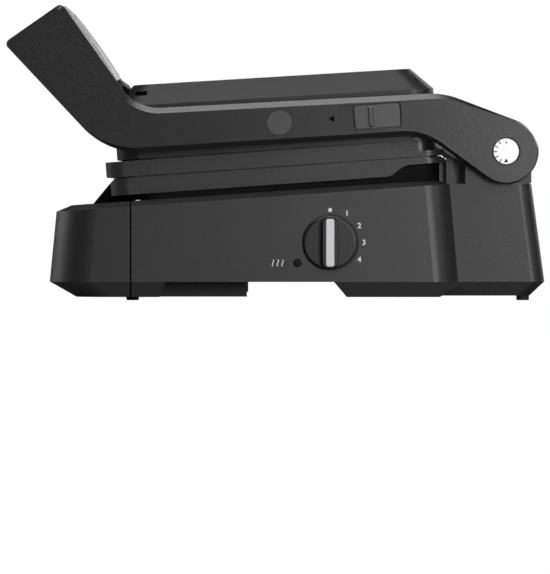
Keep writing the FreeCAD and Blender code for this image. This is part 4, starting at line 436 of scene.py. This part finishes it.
for name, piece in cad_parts.items():
    if name.startswith("button_"):
        look = slider_grey
    else:
        look = looks.get(name, screw_steel)
    piece.data.materials.clear()
    piece.data.materials.append(look)
print("steel by default:", [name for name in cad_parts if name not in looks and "button" not in name])

# %% [markdown]
# A moulded edge is never sharp. A bevel modifier rounds the CAD edges by a fraction of a millimetre, and
# the meshes themselves stay untouched.

# %% Soft edges
soft = {
    "base_shell": 0.0008, "tray_front": 0.0009, "right_arm": 0.0006, "left_arm": 0.0006,
    "upper_cover": 0.0007, "upper_top_panel": 0.0004, "upper_frame": 0.0005, "lower_plate": 0.0005,
    "upper_plate": 0.0005, "hinge_housing": 0.0006, "handle_grip": 0.0005, "handle_back": 0.0004,
    "handle_skin": 0.0003, "latch_slider": 0.0004, "knob": 0.0004, "base_floor": 0.0004,
    "control_panel": 0.0001, "drip_tray": 0.0004,
}
bevel_segments = 3
sharp_angle = math.radians(38)
for name, width in soft.items():
    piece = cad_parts[name]
    bevel = piece.modifiers.new("Soft edges", "BEVEL")
    bevel.width = width
    bevel.segments = bevel_segments
    bevel.limit_method = "ANGLE"
    bevel.angle_limit = sharp_angle
    bevel.use_clamp_overlap = True
    bevel.harden_normals = False
print("pieces with soft edges:", len(soft))

# %% [markdown]
# Small new pieces are made at their real place with the editing tools, and then ride on the body they are
# fixed to. `settle` bakes an object's turn and place into its mesh. A letter's height is a share of its type
# size, and its strokes are thickened a little.

# %% Helpers for new pieces
size_per_height = 1.4
stroke_per_height = 0.035


def settle(material, body, name):
    """Names the active object, bakes its place into the mesh and lets it ride on a CAD body."""
    piece = bpy.context.object
    piece.name = name
    bpy.ops.object.transform_apply(location=True, rotation=True, scale=True)
    piece.data.materials.clear()
    piece.data.materials.append(material)
    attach(piece, body)
    return piece


def printed_text(words, height, place, turn, material, body, name):
    """Printed characters of a given height, centred on a place."""
    bpy.ops.object.select_all(action="DESELECT")
    bpy.ops.object.text_add(location=place, rotation=turn)
    text = bpy.context.object
    text.data.body = words
    text.data.size = height * size_per_height
    text.data.align_x = "CENTER"
    text.data.align_y = "CENTER"
    text.data.extrude = print_lift
    text.data.offset = height * stroke_per_height
    bpy.ops.object.convert(target="MESH")
    return settle(material, body, name)


def printed_dot(radius, place, turn, material, body, name, sides=48):
    """Printed disc, or a triangle when it has three sides."""
    bpy.ops.object.select_all(action="DESELECT")
    bpy.ops.mesh.primitive_cylinder_add(
        vertices=sides, radius=radius, depth=print_thickness, location=place, rotation=turn)
    return settle(material, body, name)


print("helpers ready")

# %% [markdown]
# The dial's plain numbers stand on the leaning right wall, thirty degrees apart, with a dot for off at the
# top. `wall_at` gives the wall's X at a height.

# %% Dial marks
wall_lean = math.radians(2.5)
wall_turn = (math.radians(90) - wall_lean, 0.0, math.radians(90))
dial = centre_of("knob")
number_step = 30
number_height = 0.0036
number_radius = 0.0228
dot_radius = 0.0014
dot_from_dial = 0.0221
shell_low, shell_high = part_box("base_shell")


def wall_at(height):
    """X of the right wall's face at a height."""
    return shell_high[0] - math.tan(wall_lean) * (height - shell_low[2]) + print_lift


def dial_place(angle, radius):
    """Place on the wall round the dial, the angle clockwise from straight up."""
    y = dial.y + radius * math.sin(math.radians(angle))
    z = dial.z + radius * math.cos(math.radians(angle))
    return (wall_at(z), y, z)


for number in range(1, 5):
    place = dial_place(number_step * number, number_radius)
    printed_text(str(number), number_height, place, wall_turn, mark_white, "base", "dial_number_%d" % number)
printed_dot(dot_radius, dial_place(0, dot_from_dial), wall_turn, mark_white, "base", "dial_off_dot")
print("dial centre:", tuple(round(value, 4) for value in dial))

# %% [markdown]
# Beside the lamp sits a small symbol for rising heat: three short upright waves, each a curve with a stroke.

# %% Heat symbol
lamp = centre_of("indicator_lens")
wave_from_lamp = 0.0165
wave_spacing = 0.0032
wave_half_height = 0.0022
wave_swing = 0.0016
wave_reach = 0.0018
wave_stroke = 0.00036
for index in range(3):
    y = lamp.y - wave_from_lamp + index * wave_spacing
    bpy.ops.object.select_all(action="DESELECT")
    bpy.ops.curve.primitive_bezier_curve_add(location=(wall_at(lamp.z), y, lamp.z))
    curve = bpy.context.object
    points = curve.data.splines[0].bezier_points
    for point, side in ((points[0], -1), (points[1], 1)):
        end = side * wave_half_height
        point.co = (0.0, 0.0, end)
        point.handle_left_type = "FREE"
        point.handle_right_type = "FREE"
        point.handle_left = (0.0, wave_swing * side, end - wave_reach)
        point.handle_right = (0.0, wave_swing * side, end + wave_reach)
    curve.data.bevel_depth = wave_stroke
    curve.data.resolution_u = 10
    bpy.ops.object.convert(target="MESH")
    settle(mark_white, "base", "heat_symbol_%d" % (index + 1))
print("lamp at", tuple(round(value, 4) for value in lamp))

# %% [markdown]
# A small arrow on the right arm shows which way the flat-opening slider is pulled. It is a three-sided disc,
# turned with the arm.

# %% Slider arrow
arrow_along = -0.1153
arrow_above = 0.0301
arrow_radius = 0.0027
arrow_y, arrow_z = on_lid(arrow_along, arrow_above)
bpy.ops.object.select_all(action="DESELECT")
bpy.ops.mesh.primitive_cylinder_add(
    vertices=3, radius=arrow_radius, depth=print_thickness,
    location=(arm_face + print_lift, arrow_y, arrow_z), rotation=sideways)
bpy.ops.object.transform_apply(location=False, rotation=True, scale=False)
bpy.ops.transform.rotate(value=math.radians(-90) - lean, orient_axis="X",
                         center_override=(arm_face, arrow_y, arrow_z))
settle(mark_dark, "lid", "slider_arrow")
print("arrow at", round(arrow_y, 4), round(arrow_z, 4))

# %% [markdown]
# The silver hinge disc carries tick marks and two small triangles that show how far the lid is open.

# %% Hinge disc marks
disc_face = right_face("hinge_caps") + print_lift
tick_count = 5
first_tick = 126
tick_step = 28
tick_radius = 0.0072
tick_size = (print_thickness, 0.0024, 0.0007)
for index in range(tick_count):
    angle = math.radians(first_tick + index * tick_step)
    y = hinge.y + tick_radius * math.cos(angle)
    z = hinge.z + tick_radius * math.sin(angle)
    bpy.ops.object.select_all(action="DESELECT")
    bpy.ops.mesh.primitive_cube_add(size=1.0, location=(disc_face, y, z), rotation=(angle, 0.0, 0.0))
    bpy.context.object.scale = tick_size
    settle(mark_dark, "base", "hinge_tick_%d" % (index + 1))
upside_down = (math.radians(-90), 0.0, math.radians(-90))
for name, radius, above, turn in (("hinge_triangle", 0.0017, -0.0065, sideways),
                                  ("hinge_stop_mark", 0.0010, 0.0060, upside_down)):
    place = (disc_face, hinge.y, hinge.z + above)
    printed_dot(radius, place, turn, mark_dark, "base", name, sides=3)
print("hinge disc face at", round(disc_face, 4))

# %% [markdown]
# The panel on the handle's end has six buttons and a round display. Each button gets a plain symbol and the
# display shows three lit digits. `end_place` turns a place on that sloping end face into one in the frame.

# %% Panel marks
end_rise = 0.0243
end_run = 0.0406
end_slope = math.atan2(end_rise, end_run) + lean
end_turn = (end_slope, 0.0, 0.0)
end_along = -0.3126
end_above = 0.10865
end_y, end_z = on_lid(end_along, end_above)
symbol_height = 0.0042
symbol_out = 0.00154
digit_height = 0.0072
digit_out = 0.00074


def end_place(x, up, out):
    """Place on the handle's end face: across, up its slope and out of it."""
    y = end_y + up * math.cos(end_slope) - out * math.sin(end_slope)
    z = end_z + up * math.sin(end_slope) + out * math.cos(end_slope)
    return (x, y, z)


for number, symbol in enumerate("IVX-+O", start=1):
    place = end_place(centre_of("button_%d" % number).x, 0.0, symbol_out)
    printed_text(symbol, symbol_height, place, end_turn, mark_white, "button %d" % number,
                 "button_symbol_%d" % number)
printed_text("180", digit_height, end_place(0.0, 0.0, digit_out), end_turn, digit_light, "lid",
             "display_digits")
print("panel face at", tuple(round(value, 4) for value in end_place(0.0, 0.0, 0.0)))

# %% [markdown]
# The photo's view comes from far away at the level of the worktop. A long lens stands six metres off, and
# the picture is shifted so that the grill fills its upper half.

# %% Camera
photo_width = 550
photo_height = 574
pixel = 0.000674
ground_row = 300.6
hinge_column = 506.2
sensor = 36.0
distance = 6.0
camera_height = 0.075
bpy.ops.object.camera_add(location=(distance, 0.0, camera_height), rotation=sideways)
camera = bpy.context.object
camera.data.sensor_fit = "HORIZONTAL"
camera.data.sensor_width = sensor
camera.data.lens = sensor * (distance - arm_face) / (photo_width * pixel)
camera.data.clip_end = 30.0
middle_row = ground_row - camera_height / pixel
camera.data.shift_y = (middle_row - photo_height / 2) / photo_width
hinge_from_middle = (hinge_column - photo_width / 2) * pixel
camera.data.shift_x = -(hinge_from_middle - hinge.y) / (photo_width * pixel)
bpy.context.scene.camera = camera
print("lens:", round(camera.data.lens, 1), "shift:", round(camera.data.shift_y, 4))

# %% [markdown]
# A floor and a world stand for the studio. The camera sees both as white, as in the photo, while the grill's
# surfaces see a dark grey floor and a nearly dark room, so the undersides stay dark. `white_for_camera` makes
# that switch for both.

# %% Floor and world
def white_for_camera(tree, white_kind, output, own_shader):
    """Shows a shader to every ray but the camera's, which sees plain white."""
    seen = tree.nodes.new("ShaderNodeLightPath")
    white = tree.nodes.new(white_kind)
    white.inputs["Color"].default_value = (1, 1, 1, 1)
    white.inputs["Strength"].default_value = 1.0
    both = tree.nodes.new("ShaderNodeMixShader")
    tree.links.new(seen.outputs["Is Camera Ray"], both.inputs[0])
    tree.links.new(own_shader, both.inputs[1])
    tree.links.new(white.outputs[0], both.inputs[2])
    tree.links.new(both.outputs["Shader"], tree.nodes[output].inputs["Surface"])


floor_gap = 0.0002
floor_grey = 0.16
room_strength = 0.03
bpy.ops.mesh.primitive_plane_add(size=6.0, location=(0.0, 0.0, -floor_gap))
floor = bpy.context.object
floor.name = "studio_floor"
paper = bpy.data.materials.new("Studio paper")
paper.use_nodes = True
shader = paper.node_tree.nodes["Principled BSDF"]
shader.inputs["Base Color"].default_value = (floor_grey, floor_grey, floor_grey, 1)
shader.inputs["Roughness"].default_value = 0.9
white_for_camera(paper.node_tree, "ShaderNodeEmission", "Material Output", shader.outputs["BSDF"])
floor.data.materials.append(paper)

world = bpy.data.worlds.new("Studio")
bpy.context.scene.world = world
world.use_nodes = True
room = world.node_tree.nodes["Background"]
room.inputs["Color"].default_value = (1, 1, 1, 1)
room.inputs["Strength"].default_value = room_strength
white_for_camera(world.node_tree, "ShaderNodeBackground", "World Output", room.outputs["Background"])
print("world ready")

# %% [markdown]
# Six soft boxes shape the black plastic. A long narrow one above lights the sloping edges, and a small one
# near the hinge's side makes the arms run from dark at the handle to light at the rear. Two weak ones fill
# in on that side, and two more light the back and the front, which the photo doesn't show.

# %% Lights
def soft_box(name, place, aim, width, height, power):
    """Rectangular area light at a place, turned towards a point."""
    direction = Vector(aim) - Vector(place)
    turn = direction.to_track_quat("-Z", "Y").to_euler()
    bpy.ops.object.light_add(type="AREA", location=place, rotation=turn)
    light = bpy.context.object
    light.name = name
    light.data.shape = "RECTANGLE"
    light.data.size = width
    light.data.size_y = height
    light.data.energy = power
    return light


soft_box("top_box", (0.50, 0.0, 1.5), (0.17, 0.0, 0.12), 1.4, 0.3, 14.5)
soft_box("key_box", (1.5, 0.45, 0.12), (0.17, 0.05, 0.10), 0.2, 0.4, 6.2)
soft_box("rear_box", (0.50, 0.52, 0.34), (0.17, 0.13, 0.10), 0.22, 0.35, 0.7)
soft_box("side_box", (2.6, 0.6, 0.9), (0.0, 0.0, 0.1), 1.6, 1.0, 7.0)
soft_box("back_box", (-1.3, 1.3, 0.8), (0.0, 0.1, 0.1), 1.4, 0.9, 22.0)
soft_box("front_box", (-0.5, -1.6, 0.7), (0.0, -0.1, 0.1), 1.2, 0.8, 14.0)
bpy.context.scene.view_settings.view_transform = "Standard"
